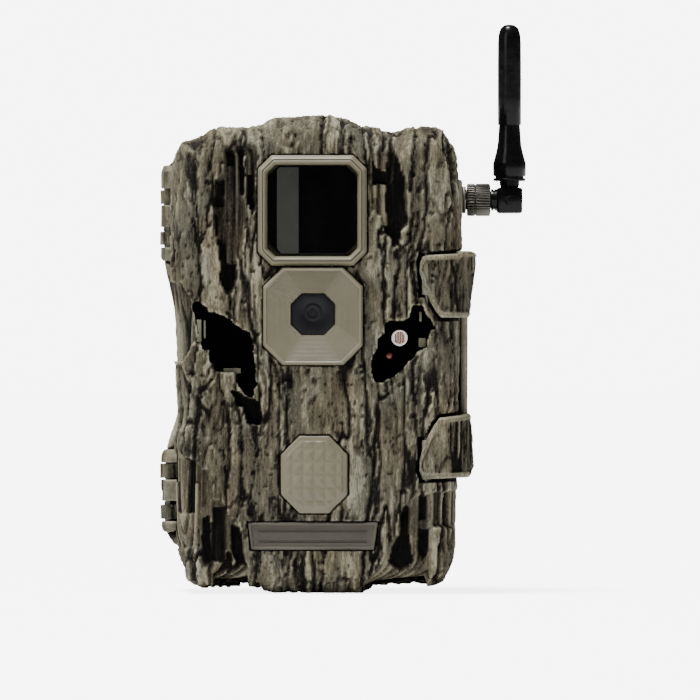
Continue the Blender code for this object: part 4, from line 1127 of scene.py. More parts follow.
def make_front():
    """The door: bark, bare wood and hollows in front, with openings for all that sits in them."""
    inner = [(DOOR_RIM_Y, WALL), (-24.0, WALL), (CAVITY_FRONT_Y, 4.5)]
    shell = case_shell("case_front", DOOR_LEFT_SIDE, DOOR_RIM_Y, DOOR_FACE_Y, 0.5, front_relief, inner)
    through = (-45.0, CAVITY_FRONT_Y + 1)
    cutters = [prism(octagon(spec, GAP), *through) for spec in (IR_BEZEL, LENS_PLATE, PIR_LENS)]
    cutters.append(prism(offset_outline(BADGE_OUTLINE, GAP), through[0], -32.5))
    cutters += [prism(ragged(eye), *through) for eye in (RIGHT_EYE, LEFT_EYE)]
    cutters += [pad_recess(UPPER_PAD, (82.0, 103.0)), pad_recess(LOWER_PAD, (34.0, 54.3))]
    cutters += [rod("z", PIVOT, 2.9, span, 24) for span in ((88.8, 102.1), (33.3, 47.0))]
    cutters += knuckle_pockets(UPPER_HOUSING_KNUCKLES + LOWER_HOUSING_KNUCKLES)
    finish_case(shell, cutters, "door", "front_shell")


def make_rear():
    """The housing: bark all over, with holes for the antenna, tripod and power port."""
    inner = [(HOUSING_RIM_Y, WALL), (22.0, WALL + 0.4), (27.0, 5.0)]
    shell = case_shell("case_rear", HOUSING_LEFT_SIDE, HOUSING_RIM_Y, HOUSING_FACE_Y, 0.8, rear_relief, inner)
    cutters = knuckle_pockets(UPPER_DOOR_KNUCKLES + LOWER_DOOR_KNUCKLES)
    cutters += [
        rod("x", ANTENNA_AXIS, 3.5, (38.0, 52.0)), rod("z", TRIPOD_CENTRE, 4.8, (-2.0, 9.3)),
        rod("z", PORT_CENTRE, 2.9, (-2.0, 8.0)),
    ]
    finish_case(shell, cutters, "root", "rear_housing")


make_front()
make_rear()


# Front insets

def make_ir_bezel():
    """The stepped frame round the flash window."""
    profile = [
        (0.0, INSET_BACK_Y), (0.0, -34.9), (0.15, -35.25), (1.1, -36.75), (1.3, -36.85), (1.42, -36.4),
        (1.55, -36.4), (1.68, -37.2), (1.9, -37.35), (2.05, -37.25), (2.85, -35.95), (2.85, -33.5),
        (4.7, -33.5), (4.7, INSET_BACK_Y),
    ]
    plate("bezel", octagon(IR_BEZEL), profile, "tan", "door", 0.5, 14, joined=True, node="ir_window_bezel")


def lens_ridges():
    """Fine ridges on the slope from the lens plate's rim down to the window."""
    steps = []
    count, first, last = 19, 1.3, 8.2
    pitch = (last - first) / count
    for k in range(count):
        inset, y = first + k * pitch, -36.75 + 0.055 * k
        steps += [(inset, y), (inset + 0.3 * pitch, y - 0.07), (inset + 0.7 * pitch, y - 0.06)]
    return steps


def make_lens_plate():
    profile = [
        (0.0, INSET_BACK_Y), (0.0, -35.9), (0.12, -36.35), (0.5, -37.1), (0.75, -37.2), (0.95, -37.1),
        (1.15, -36.8),
    ]
    profile += lens_ridges() + [(8.35, -34.7), (8.35, -33.1), (10.9, -33.1), (10.9, INSET_BACK_Y)]
    rings = []
    for inset, y in profile:
        spec = between(LENS_PLATE, LENS_WINDOW, min(inset / 8.6, 1.2))
        spec["size"] = np.array(LENS_PLATE["size"]) - 2 * inset
        rings.append(at_y(soft_loop(octagon(spec), 0.35, 12), y))
    loft("lens_frame", rings, "tan", "door", True, 40, "lens_plate")


def make_pir_lens():
    """A domed lens pressed with rows of facets, thin at the back."""
    rim = [
        (2.6, INSET_BACK_Y), (0.0, INSET_BACK_Y), (0.0, -34.2), (0.2, -34.7), (0.7, -34.9), (1.5, -34.9),
        (1.6, -35.0),
    ]
    rings = [at_y(soft_loop(octagon(PIR_LENS, -inset), 0.4, 24), y) for inset, y in rim]
    edge = rings[-1][:, [0, 2]]
    middle = np.array(PIR_LENS["centre"])
    for share in np.linspace(0.96, 0.04, 40):
        ring = middle + (edge - middle) * share
        across = (ring - middle) / FACET_SIZE
        facet = 0.42 * (1 - 2 * np.max(np.abs(across - np.floor(across) - 0.5), axis=1))
        dome = -35.0 - 0.72 * math.cos(share * math.pi / 2)
        rings.append(np.stack([ring[:, 0], dome - facet, ring[:, 1]], axis=1))
    loft("pir_window", rings, "tan", "door", node="pir_lens")


def make_badge():
    """The name plate's blank: a raised border round a sunk field with two plain grooves."""
    profile = [(0.0, -32.8), (0.0, -33.9), (0.12, -34.2), (0.5, -34.3), (0.8, -34.2), (0.95, -33.85)]
    badge = plate("badge", BADGE_OUTLINE, profile, "badge", "door", 0.5, 40, node="badge_plate")
    cut(badge, [box((-16.0, 16.5), (-36.0, -33.6), wide((z, z), 0.4)) for z in (15.6, 18.8)])
    edge_values(badge.data)
    set_creases(badge, 32)


# Windows and sensors in the front

def make_windows():
    pane = [(0.0, -33.8), (0.0, -35.6), (0.15, -35.75), (0.4, -35.8), (1.5, -35.8)]
    plate("flash_window", octagon(IR_GLASS), pane, "window", "door", crease=4, node="ir_window_glass")
    # A grey strip laid on the window's face: a painted reflection of a light panel in the glass.
    band = [(-10.5, 127.0), (-10.5, 103.4), (-9.2, 102.0), (-4.0, 102.0), (-4.0, 127.9), (-9.8, 127.9)]
    profile = [(0.0, -35.78), (0.0, -35.83), (0.1, -35.84), (0.6, -35.84)]
    plate("flash_window_reflection_strip", band, profile, "reflection_strip", "door", 0.3)


def make_lens_cover():
    """The lens window: a flat pane pressed with rings round the lens."""
    steps = [(0.0, -33.4), (0.0, -34.4), (-0.12, -34.55), (-0.4, -34.6), (-1.2, -34.6)]
    rings = [at_y(soft_loop(octagon(LENS_WINDOW, grow), 0.3), y) for grow, y in steps]
    middle = np.array(LENS_WINDOW["centre"]) + (0, 0.6)
    direction = unit(rings[-1][:, [0, 2]] - middle)
    for radius, y in (
        (3.35, -34.6), (3.2, -34.52), (2.9, -34.44), (2.6, -34.42), (2.45, -34.46), (2.1, -34.5),
        (1.8, -34.48), (1.6, -34.38), (1.3, -34.3), (0.9, -34.34), (0.4, -34.36),
    ):
        rings.append(at_y(direction * radius + middle, y))
    loft("lens_cover", rings, "lens", "door", crease=30, node="lens_window")


def make_hollow_floors():
    # The floors' near-black colour is painted shade deep in the hollows.
    for name, outline, node in (
        ("right_hollow", RIGHT_EYE, "sensor_insert"), ("left_hollow", LEFT_EYE, "microphone_insert"),
    ):
        edge = smooth_path(offset_outline(outline, 1.0), True, 1.2)
        floor = smooth_path(offset_outline(outline, -0.35), True, 1.2)[: len(edge)]
        base = prism(edge, CAVITY_FRONT_Y + GAP, -26.2)
        shaped(base, name, "hollow", "door", 0.0, joins=[prism(floor, -29.5, -26.8)], node=node)


def make_sensors():
    """The light cell with its winding track, and the lamp beside it."""
    disc = [(2.45, -29.9), (2.45, -31.9), (2.3, -32.15), (2.1, -32.2), (1.9, -32.12), (0.5, -32.12)]
    lathe("light_cell", disc, "y", LIGHT_CELL, "ceramic", "door", 40, node="light_sensor")
    track = []
    for k in range(6):
        x = -1.25 + 0.5 * k
        reach = 0.9 * math.sqrt(max(0.3, 1.75**2 - x**2)) * (-1) ** k
        track += [(x, reach), (x, -reach)]
    path = np.array(track) + LIGHT_CELL
    strip = np.concatenate([offset_line(path, TRACK_HALF), offset_line(path, -TRACK_HALF)[::-1]])
    loft("light_cell_track", [at_y(strip, y) for y in (-32.1, -32.2)], "track", "door")
    lamp = [(1.0, -29.8), (1.0, -30.6), (0.95, -31.0), (0.7, -31.3), (0.3, -31.4)]
    lathe("lamp", lamp, "y", (23.2, 71.3), "lamp", "door", 24, node="status_led")


def make_splinters():
    """Torn strips of wood that stand up from the floors of the hollows."""
    for name, x, z, front in (
        ("wide", (-34.6, -33.2), (75.4, 82.2), -33.6), ("thin", (-32.5, -31.9), (76.6, 82.0), -33.0),
        ("low", (-26.6, -21.4), (66.0, 67.6), -31.0), ("tall", (32.2, 32.9), (81.6, 84.6), -32.4),
        ("stub", (32.0, 34.2), (73.9, 76.7), -31.8),
    ):
        made = shaped(box(x, (front, -29.6), z), f"splinter_{name}", "splinter", "door", 0.22)
        edge_values(made.data)


for make in (
    make_ir_bezel, make_lens_plate, make_pir_lens, make_badge, make_windows, make_lens_cover,
    make_hollow_floors, make_sensors, make_splinters,
):
    make()


# Latch

UPPER_PAD_LOW = [(32.0, 96.6), (33.5, 92.3), (35.4, 87.5), (37.3, 84.4), (38.9, 82.8), (47.3, 82.8)]
UPPER_PAD_HIGH = [
    (32.0, 97.0), (32.3, 99.3), (33.1, 100.8), (34.4, 101.5), (44.2, 102.0), (44.8, 102.8), (49.0, 102.8),
]
UPPER_PAD_EDGE = [
    (82.8, 47.3), (86.3, 48.0), (94.0, 49.1), (99.0, 49.7), (101.6, 49.6), (102.4, 49.0), (102.8, 48.0),
]
LOWER_PAD_LOW = [(31.9, 38.4), (32.1, 36.4), (32.8, 35.0), (34.0, 34.3), (47.2, 34.8)]
LOWER_PAD_HIGH = [
    (31.9, 38.8), (33.0, 43.1), (34.8, 47.3), (36.7, 50.6), (38.4, 52.7), (46.2, 53.5), (47.6, 54.1),
]
LOWER_PAD_EDGE = [(34.8, 47.3), (38.0, 49.1), (43.7, 48.9), (50.4, 48.3), (54.1, 47.6)]
LEVER_OUTER = [(32.0, -33.0), (32.7, -34.1), (34.4, -34.7)] + PAD_OUTER_CURVE[1:]
LEVER_OUTER += [(49.7, -8.0), (49.5, 2.0), (47.6, 8.0)]
LEVER_INNER = [(32.2, -32.4), (33.0, -31.6), (34.4, -31.6)] + PAD_INNER_CURVE[1:]
LEVER_INNER += [(45.3, -8.0), (45.3, 2.0), (45.3, 8.0)]


def pad_surface(low, high, edge):
    """Distances across a pad, its heights, and its grids of outer and inner points."""
    outer, inner = smooth_path(LEVER_OUTER), smooth_path(LEVER_INNER)
    length = np.sum(np.linalg.norm(np.diff(outer, axis=0), axis=1))
    across = np.linspace(0, 1, int(length / 0.4))
    up = np.linspace(0, 1, 52)
    outside, behind = along(outer, across), along(inner, across)
    x = np.minimum(outside[:, 0], 47.2)
    x[np.argmax(outside[:, 0]) :] = 47.2
    lows, highs = (np.interp(x, *np.array(border).T) for border in (low, high))
    z = lows[:, None] + (highs - lows)[:, None] * up[None, :]
    limit = np.interp(z, *np.array(edge).T)
    top = np.stack([np.minimum(outside[:, :1], limit), outside[:, 1:] + 0 * z, z], axis=2)
    bottom = np.stack([behind[:, :1] + 0 * z, behind[:, 1:] + 0 * z, z], axis=2)
    return across * length, z, top, bottom


def flat_surface(across, up, place_top, place_bottom):
    """The same for a flat panel: the functions give (x, y) for a distance across."""
    travel, level = (np.arange(low, high + 0.01, 0.5) for low, high in (across, up))
    z = np.repeat(level[None, :], len(travel), axis=0)
    grids = [np.stack([*place(travel[:, None] + 0 * z), z], axis=2) for place in (place_top, place_bottom)]
    return travel, z, *grids


def bark_panel(name, surface, body, face_y, rim=1.5, sunk=0.75, node=None):
    """A thick sheet with a raised plain rim round a sunk bark field."""
    travel, z, top, bottom = surface
    flat = np.stack([travel[:, None] + 0 * z, z], axis=2).reshape(-1, 2)
    count = len(flat)
    index = np.arange(count).reshape(z.shape)
    border = grid_border(index)
    away = edge_distance(flat, flat[border])
    away[border] = 0
    outward = unit((top - bottom).reshape(-1, 3) * (1, 1, 0))
    field = ramp(away, rim - 0.15, rim + 0.3)
    roll = 0.75 * (1 - np.sqrt(np.clip(1 - (1 - np.clip(away / 1.1, 0, 1)) ** 2, 0, 1)))
    relief, tone = bark(top.reshape(-1, 3), outward, face_y)
    height = -roll + field * (0.62 * relief - sunk) + (1 - field) * 0.05 * relief
    verts = np.concatenate([top.reshape(-1, 3) + outward * height[:, None], bottom.reshape(-1, 3)])
    top_faces = grid_faces(index)
    faces = top_faces + [[v + count for v in reversed(face)] for face in top_faces]
    faces += ring_faces(border, border + count)
    tone = np.concatenate([field * (0.92 * tone - 0.06) + (1 - field) * 0.80, np.full(count, 0.5)])
    panel = piece(name, verts, faces, "bark", body, node, tone=tone, bare=0 * tone)
    edge_values(panel.data)


def make_latch():
    """Two pads on barrels round the latch pins, and the bar that joins them."""
    upper = pad_surface(UPPER_PAD_LOW, UPPER_PAD_HIGH, UPPER_PAD_EDGE)
    lower = pad_surface(LOWER_PAD_LOW, LOWER_PAD_HIGH, LOWER_PAD_EDGE)
    bark_panel("latch_upper_pad", upper, "latch", DOOR_FACE_Y, node="latch_lever")
    bark_panel("latch_lower_pad", lower, "latch", DOOR_FACE_Y)
    for name, low, high in (("upper", 89.6, 101.2), ("lower", 34.1, 46.0)):
        half = [(0.95, low), (1.25, low), (1.45, low + 0.3)]
        profile = half + [(radius, low + high - at) for radius, at in reversed(half)]
        lathe(f"latch_{name}_knuckle", profile, "z", PIVOT, "tan", "latch", 32)
    bar = flat_surface((-20.0, 8.0), (50.0, 86.0), lambda y: (46.9 + 0 * y, y), lambda y: (44.8 + 0 * y, y))
    bark_panel("latch_bar", bar, "latch", DOOR_FACE_Y, 2.0, 0.5)


def make_catch():
    """The ledge on the housing's side that the latch bar closes against; its black also paints the shade in
    the gap between case and bar.
    """
    shaped(box((42.4, 45.7), (8.3, 10.3), (50.6, 85.4)), "latch_catch", "black", "root", 0.25)


make_latch()
make_catch()


# Hinges

def knuckle_section(radius, forward):
    """A barrel with a web that runs into the case, in x and y; forward is -1 for the door."""
    angles = np.radians(np.linspace(-8, 205, 40))
    barrel = [(HINGE_X + radius * math.cos(a), -forward * radius * math.sin(a)) for a in angles]
    web = [(-45.1, forward * 2.4), (-44.2, forward * 4.2), (-42.6, forward * 5.0), (-40.9, forward * 5.0)]
    return np.array([(x, SEAM_Y + y) for x, y in barrel + web + [(-40.9, forward * 0.35)]])


# How far each end of a barrel rounds off, for the barrels at the ends of the door's two rows
BARREL_ENDS = {"door_0": (1.5, 0.3), "door_2": (0.3, 3.4), "door_3": (2.6, 0.3), "door_5": (0.3, 3.0)}


def end_rounding(levels, low, high, runs):
    """How much of its full size a barrel keeps at each level."""
    keep = np.ones(len(levels))
    for away, run in ((levels - low, runs[0]), (high - levels, runs[1])):
        least = 0.94 if run < 1 else 0.5
        share = np.clip(away / run, 0, 1)
        keep = np.minimum(keep, least + (1 - least) * np.sqrt(1 - (1 - share) ** 2))
    return keep


def make_knuckles(label, body, forward, radius, spans):
    """Hinge barrels with the grain of the case, their ends rounded off."""
    section = knuckle_section(radius, forward)
    middle = section.mean(axis=0)
    count = len(section)
    for number, (low, high) in enumerate(spans):
        levels = np.concatenate([[low, low + 0.1], np.arange(low + 0.3, high - 0.2, 0.3), [high - 0.1, high]])
        shrink = end_rounding(levels, low, high, BARREL_ENDS.get(f"{label}_{number}", (0.3, 0.3)))
        flat = middle + (section - middle)[None] * shrink[:, None, None]
        points = np.concatenate([flat, np.repeat(levels, count).reshape(-1, count, 1)], axis=2).reshape(-1, 3)
        outward = unit((points - (HINGE_X, SEAM_Y, 0)) * (1, 1, 0))
        height, tone = bark(points, outward, DOOR_FACE_Y)
        points = points + outward * np.clip(0.25 * height, -0.4, 0.15)[:, None]
        made = piece(
            f"{label}_knuckle_{number}", points, tube_faces(len(levels), count), "bark", body,
            tone=0.35 + 0.55 * tone, bare=0 * tone,
        )
        edge_values(made.data)
        set_creases(made, 50)


make_knuckles("door", "door", -1, KNUCKLE_R, UPPER_DOOR_KNUCKLES + LOWER_DOOR_KNUCKLES)
make_knuckles("housing", "root", 1, KNUCKLE_R + 0.25, UPPER_HOUSING_KNUCKLES + LOWER_HOUSING_KNUCKLES)


# Antenna

def make_antenna_foot():
    """The boss on the housing and the knurled nut."""
    boss = [(3.5, 40.5), (6.15, 40.5), (6.15, 44.9), (5.95, 45.35), (5.5, 45.55), (3.5, 45.55)]
    lathe("antenna_boss", boss, "x", ANTENNA_AXIS, "tan", "root")
    nut = [
        (4.0, 46.9), (4.7, 46.95), (4.95, 47.25), (4.95, 49.2), (4.6, 49.35), (4.6, 49.6), (4.95, 49.75),
        (4.95, 53.6), (4.7, 53.95), (3.9, 54.1), (3.2, 54.1), (3.2, 53.2), (2.8, 53.0), (2.8, 50.0),
    ]
    lathe("knurled_nut", nut, "x", ANTENNA_AXIS, "gunmetal", "antenna_nut", 216, 36, 0.32, "antenna_nut")


def make_elbow():
    """A neck in the nut and a fork with the heads of its pivot pin."""
    neck = [
        (2.4, 52.0), (2.5, 54.2), (3.25, 54.3), (3.3, 54.5), (3.3, 54.9), (3.0, 55.0), (3.0, 55.4),
        (3.3, 55.5), (3.3, 56.4),
    ]
    lathe("elbow_neck", neck, "x", ANTENNA_AXIS, "antenna", "antenna_elbow")
    high = (114.6, 122.4)
    cheeks = [box((56.4, 63.8), y, high) for y in ((2.0, 3.9), (8.1, 10.0))]
    base = box((56.0, 57.4), (2.0, 10.0), high)
    shaped(base, "elbow_fork", "antenna", "antenna_elbow", 0.7, joins=cheeks, node="antenna_elbow")
    for name, at, way in (("near", 2.02, -1), ("far", 9.98, 1)):
        head = [(1.5, -1.2), (1.5, 0.02), (1.25, 0.12), (0.9, -0.1), (0.3, -0.1)]
        placed = [(radius, at + way * rise) for radius, rise in head]
        lathe(f"pivot_head_{name}", placed, "y", TILT_AXIS, "antenna", "antenna_elbow", 28)


def make_whip():
    """A stub whip with a bell at its foot, on a tongue in the fork."""
    profile = [
        (2.0, 122.9), (3.0, 123.0), (3.0, 124.3), (4.7, 124.4), (4.9, 124.6), (4.9, 125.1), (4.7, 125.3),
        (4.3, 125.4), (4.3, 125.8), (4.8, 125.9), (5.0, 126.3), (5.0, 129.6), (4.9, 130.1), (4.5, 131.6),
        (3.95, 133.6), (3.65, 135.2), (3.5, 136.6), (3.3, 139.5), (3.2, 141.1), (3.2, 141.4),
        (3.45, 141.5), (3.55, 141.8), (3.55, 150.0), (3.55, 160.0), (3.5, 166.5), (3.3, 169.0),
        (2.7, 170.9), (1.6, 171.8), (0.5, 172.0),
    ]
    lathe("whip", profile, "z", (TILT_AXIS[0], ANTENNA_Y), "antenna", "antenna_whip", 56, node="antenna_whip")
    thick = (4.2, 7.8)
    eye = rod("y", TILT_AXIS, 2.7, thick)
    shaped(box((57.2, 62.6), thick, (118.5, 123.4)), "whip_tongue", "antenna", "antenna_whip", joins=[eye])


make_antenna_foot()
make_elbow()
make_whip()


# Tree bracket on the back

def rib_outline():
    """A rib's outline in y and z, with teeth along its back edge to grip the tree."""
    low, high, back = 26.0, 116.0, 42.5
    pitch = (high - low - 8) / RIB_TEETH
    outline = [(32.0, low), (back - 2, low)]
    for tooth in range(RIB_TEETH):
        start = low + 4 + tooth * pitch
        outline += [(back - 1.3, start), (back, start + pitch / 2)]
    return outline + [(back - 1.3, high - 4), (back - 2, high), (32.0, high)]


def make_bracket():
    """A bark plate with two toothed ribs, which have ways for the strap and a lock cable."""
    front, back = 30.4, 33.3
    outer, inner = (lambda x: (x, back + 0 * x)), (lambda x: (x, front + 0 * x))
    surface = flat_surface((-27.0, 27.0), (22.0, 120.0), outer, inner)
    bark_panel("bracket_plate", surface, "root", HOUSING_FACE_Y, 2.2, 0.5, "tree_bracket")
    for name, x in (("left", (-24.0, -20.0)), ("right", (20.0, 24.0))):
        rib = solid([[(at, y, z) for y, z in rib_outline()] for at in x])
        cuts = [box(wide(x, 1), (33.9, 39.3), (57.0, 84.0)), rod("x", (37.6, 103.0), 3.3, wide(x, 1))]
        shaped(rib, f"bracket_rib_{name}", "tan", "root", 0.35, cuts=cuts)
    for number, place in enumerate([(-12.0, 30.0), (12.0, 30.0), (-12.0, 112.0), (12.0, 112.0)]):
        screw_head(f"bracket_screw_{number}", place, 32.6, 3.0, "gunmetal", "root")


make_bracket()


# Small fittings on the outside

def thread_profile(low, high, crest, root, pitch):
    """Crests and roots of a screw thread, as (radius, place) pairs."""
    profile = []
    for place in np.arange(low, high - pitch / 2, pitch):
        profile += [(root, place), (crest, place + 0.35 * pitch), (crest, place + 0.6 * pitch)]
    return profile


def make_pins():
    """Hinge and latch pins with rounded ends."""
    for kind, body, centre in (("hinge", "root", (HINGE_X, SEAM_Y)), ("latch", "door", PIVOT)):
        for node in (f"{kind}_pin_upper", f"{kind}_pin_lower"):
            low, high = node_box(node)
            radius = (high[0] - low[0]) / 2
            half = [(0.5 * radius, 0.0), (0.85 * radius, 0.1), (radius, 0.35)]
            profile = [(r, low[2] + rise) for r, rise in half]
            profile += [(r, high[2] - rise) for r, rise in reversed(half)]
            lathe(node + "_rod", profile, "z", centre, "gunmetal", body, 24, node=node)


def make_socket():
    """Antenna socket with its thread and lock nut."""
    jack = [(3.0, 37.0), (3.17, 37.2), (3.17, 45.6)] + thread_profile(45.7, 52.0, 3.17, 2.85, 0.6)
    jack.append((2.8, 52.2))
    lathe("antenna_socket", jack, "x", ANTENNA_AXIS, "brass", "root", 40, node="antenna_jack")
    hexagon = ring_about("x", ANTENNA_AXIS, 4.7, 0, around(6))
    nut = solid([hexagon + (x, 0, 0) for x in (45.6, 46.6)])
    bore = rod("x", ANTENNA_AXIS, 3.5, (44.0, 48.0))
    shaped(nut, "lock_nut", "gunmetal", "root", 0.15, cuts=[bore], node="jack_lock_nut")


def make_fittings():
    """Tripod thread and the cover of the power port."""
    insert = [(4.2, 9.0), (4.5, 8.7), (4.5, 0.5), (4.3, 0.2), (3.4, 0.2), (3.1, 0.5)]
    insert += thread_profile(0.6, 8.0, 2.85, 3.12, 1.27) + [(2.9, 8.4)]
    lathe("tripod_thread", insert, "z", TRIPOD_CENTRE, "brass", "root", node="tripod_insert")
    x, y = PORT_CENTRE
    joins = [box((x + at, x + at + 1.2), (y - 3, y + 3), (0.8, 1.6)) for at in (-3.0, -0.6, 1.8)]
    joins.append(rod("z", PORT_CENTRE, 2.6, (2.0, 6.8)))
    cover = box((x - 6, x + 6), (y - 4.5, y + 4.5), (1.2, 2.7))
    shaped(cover, "port_cover", "rubber", "root", joins=joins, node="power_port_plug")


make_pins()
make_socket()
make_fittings()


# Inside the door

PANEL_Y = (-9.0, -6.8)
SCREEN_X = (-23.0, 23.0)
SCREEN_Z = (86.0, 122.0)
KEYPAD = (0.0, 68.0)
KEY_STEP = 10.5
KEY_RADIUS = 3.6
KEY_PLACES = {
    "button_ok": (0, 0), "button_up": (0, 1), "button_down": (0, -1),
    "button_left": (-1, 0), "button_right": (1, 0),
}
SWITCH = (19.0, 38.0)
CARD_X = (-32.0, -8.0)
CARD_Z = (20.0, 52.0)
CARD_Y = (-11.0, -8.9)
PANEL_SCREWS = [(-34.5, 25.0), (34.5, 14.0), (-34.5, 118.0), (34.5, 127.0)]


def key_centre(name):
    across, up = KEY_PLACES[name]
    return KEYPAD[0] + across * KEY_STEP, KEYPAD[1] + up * KEY_STEP


def make_panel():
    """The door's inner cover, with openings and raised frames for what sits in it."""
    loop = drawn_in(smooth_path(BOTTOM_SIDE + RIGHT_SIDE + TOP_SIDE + DOOR_LEFT_SIDE, True, 2.0), 3.7)
    slot_x, slot_z = (SWITCH[0] - 2.8, SWITCH[0] + 8.8), wide((SWITCH[1], SWITCH[1]), 2.3)
    raised, deep = (-8.0, -6.3), (-12.0, -4.0)
    joins = [
        box(wide(SCREEN_X, 2.4), raised, wide(SCREEN_Z, 2.4)),
        rod("y", KEYPAD, 17.0, raised, 64),
        box(wide(slot_x, 2.0), raised, wide(slot_z, 2.0)),
        box(wide(CARD_X, 3.4), raised, (CARD_Z[0] - 8.4, CARD_Z[1] + 5.0)),
        box((-36.0, 36.0), raised, (57.0, 58.2)),
    ]
    joins += [box((33.0, 36.5), raised, (66.0 + 3 * k, 67.2 + 3 * k)) for k in range(8)]
    cuts = [
        box(wide(SCREEN_X, GAP), deep, wide(SCREEN_Z, GAP)),
        box(slot_x, deep, slot_z),
        box(wide(CARD_X, 2.0), deep, (CARD_Z[0] - 7, CARD_Z[1] + 3.6)),
        rod("y", KEYPAD, 15.6, (-6.75, -4.0), 64),
    ]
    cuts += [rod("y", key_centre(name), KEY_RADIUS + GAP, deep) for name in KEY_PLACES]
    cuts += [rod("y", place, 2.6, (-7.5, -4.0)) for place in PANEL_SCREWS]
    base = prism(loop, *PANEL_Y)
    shaped(base, "inner_panel", "black", "door", 0.25, joins=joins, cuts=cuts, node="control_panel")
    for number, place in enumerate(PANEL_SCREWS):
        screw_head(f"panel_screw_{number}", place, -7.5, 2.1, "steel", "door")


def make_screen():
    outline = [(x, z) for x, z in zip(SCREEN_X + SCREEN_X[::-1], np.repeat(SCREEN_Z, 2))]
    pane = [(0.0, -11.6), (0.0, -7.4), (0.2, -7.2), (1.0, -7.2)]
    plate("screen_pane", outline, pane, "window", "door", 0.6, node="lcd_screen")
    shown = [(0.0, -7.25), (0.0, -7.16), (0.1, -7.14), (1.0, -7.14)]
    plate("screen_display", offset_outline(outline, -3.0), shown, "display", "door", 0.3)


def make_keys():
    """Domed keys with a skirt; the four outer ones carry a raised arrowhead, the middle one a ring."""
    skirt = [
        (3.1, -11.0), (KEY_RADIUS, -10.8), (KEY_RADIUS, -6.5), (3.45, -6.15), (3.1, -5.95), (2.5, -5.85),
    ]
    ring = [(2.1, -5.8), (1.8, -5.95), (1.5, -6.05), (0.4, -6.05)]
    flat = [(1.0, -5.82), (0.3, -5.82)]
    arrow = np.array([(0.0, 1.5), (-1.4, -0.7), (1.4, -0.7)])
    raised = [(0.0, -5.95), (0.0, -5.78), (0.15, -5.7), (0.4, -5.7)]
    for name, (across, up) in KEY_PLACES.items():
        centre = key_centre(name)
        outer = (across, up) != (0, 0)
        lathe(name + "_key", skirt + (flat if outer else ring), "y", centre, "keys", name, 40, node=name)
        if outer:
            outline = arrow @ np.array([(up, -across), (across, up)]) + centre
            plate(name + "_arrow", outline, raised, "mark", name, 0.2, 4)


def make_switch():
    x, z = SWITCH
    knob = box(wide((x, x), 2.5), (-11.2, -5.4), wide((z, z), 2.0))
    starts = [x - 1.9 + 1.1 * k for k in range(4)]
    grooves = [box((start, start + 0.5), (-5.9, -5.0), wide((z, z), 3)) for start in starts]
    shaped(knob, "switch_knob", "keys", "power_switch", 0.15, cuts=grooves, node="power_switch")


def make_card():
    """Memory card with a cut corner, thumb grooves, a lock notch and a label."""
    x, z, (back, front) = CARD_X, CARD_Z, CARD_Y
    outline = [(x[0], z[0]), (x[1], z[0]), (x[1], z[1]), (x[0] + 4.0, z[1]), (x[0], z[1] - 4.0)]
    bed_x, bed_z = wide(x, -2), (z[0] + 5, z[1] - 7)
    cuts = [box(bed_x, (front - 0.15, front + 1), bed_z)]
    starts = [z[0] + 1 + 0.9 * k for k in range(4)]
    cuts += [box(wide(x, -5), (front - 0.25, front + 1), (start, start + 0.4)) for start in starts]
    cuts.append(box((x[0] - 1, x[0] + 0.8), wide(CARD_Y, 1), (z[1] - 15, z[1] - 11)))
    shaped(prism(outline, back, front), "card_case", "card", "memory_card", 0.12, cuts=cuts, node="sd_card")
    bed = [(bed_x[0], bed_z[0]), (bed_x[1], bed_z[0]), (bed_x[1], bed_z[1]), (bed_x[0], bed_z[1])]
    profile = [(0.0, front - 0.2), (0.0, front - 0.08), (0.1, front - 0.05), (1.0, front - 0.05)]
    plate("card_label", offset_outline(bed, -0.2), profile, "label", "memory_card", 0.8)


def make_card_socket():
    """The pressed metal socket that the card slides into, with windows and spring tabs."""
    x, z, y = CARD_X, CARD_Z, CARD_Y
    shell = box(wide(x, 1.5), wide(y, 0.7), (z[0] + 6, z[1] + 3))
    cuts = [box(wide(x, GAP), wide(y, GAP), (z[0] + 3, z[1] + 1.5))]
    cuts += [box((x[0] + 3 + 8 * k, x[0] + 6 + 8 * k), (-9.0, -7.0), (48.0, 52.5)) for k in range(3)]
    tabs = [box(wide((at, at), 1.2), (-8.5, -8.0), (30.0, 36.0)) for at in (-28.0, -12.0)]
    shaped(shell, "card_socket", "chip", "door", 0.15, joins=tabs, cuts=cuts, node="sd_socket")


def make_boards():
    """Main board with its chips, and the flash board with its emitters."""
    holes = [(x, z) for x in (-29.0, 29.0) for z in (17.0, 121.0)]
    cuts = [rod("y", place, 1.6, (-16.0, -10.0), 16) for place in holes]
    board = box((-32.0, 32.0), (-13.6, -12.0), (14.0, 124.0))
    shaped(board, "circuit", "board", "door", 0.1, cuts=cuts, node="main_board")
    chips = [(-22.0, 60.0, 5.0), (20.0, 55.0, 4.0), (8.0, 30.0, 6.0), (24.0, 26.0, 2.5), (12.0, 48.0, 2.0)]
    for number, (x, z, half) in enumerate(chips):
        chip = box(wide((x, x), half), (-12.1, -10.9), wide((z, z), half))
        shaped(chip, f"chip_{number}", "black", "door", 0.12)
    cx, cz = IR_GLASS["centre"]
    flash = box(wide((cx, cx), 14), (-24.5, -22.9), wide((cz, cz), 14))
    shaped(flash, "flash_board", "board", "door", 0.1, node="ir_led_board")
    emitter = [
        (1.95, -24.4), (2.1, -24.6), (2.1, -24.9), (1.85, -25.0), (1.85, -27.4), (1.65, -28.3),
        (1.1, -28.8), (0.3, -29.0),
    ]
    for column in range(4):
        for row in range(5):
            place = (cx + (column - 1.5) * EMITTER_PITCH, cz + (row - 2) * EMITTER_PITCH)
            lathe(f"emitter_{column}_{row}", emitter, "y", place, "emitter", "door", 20)


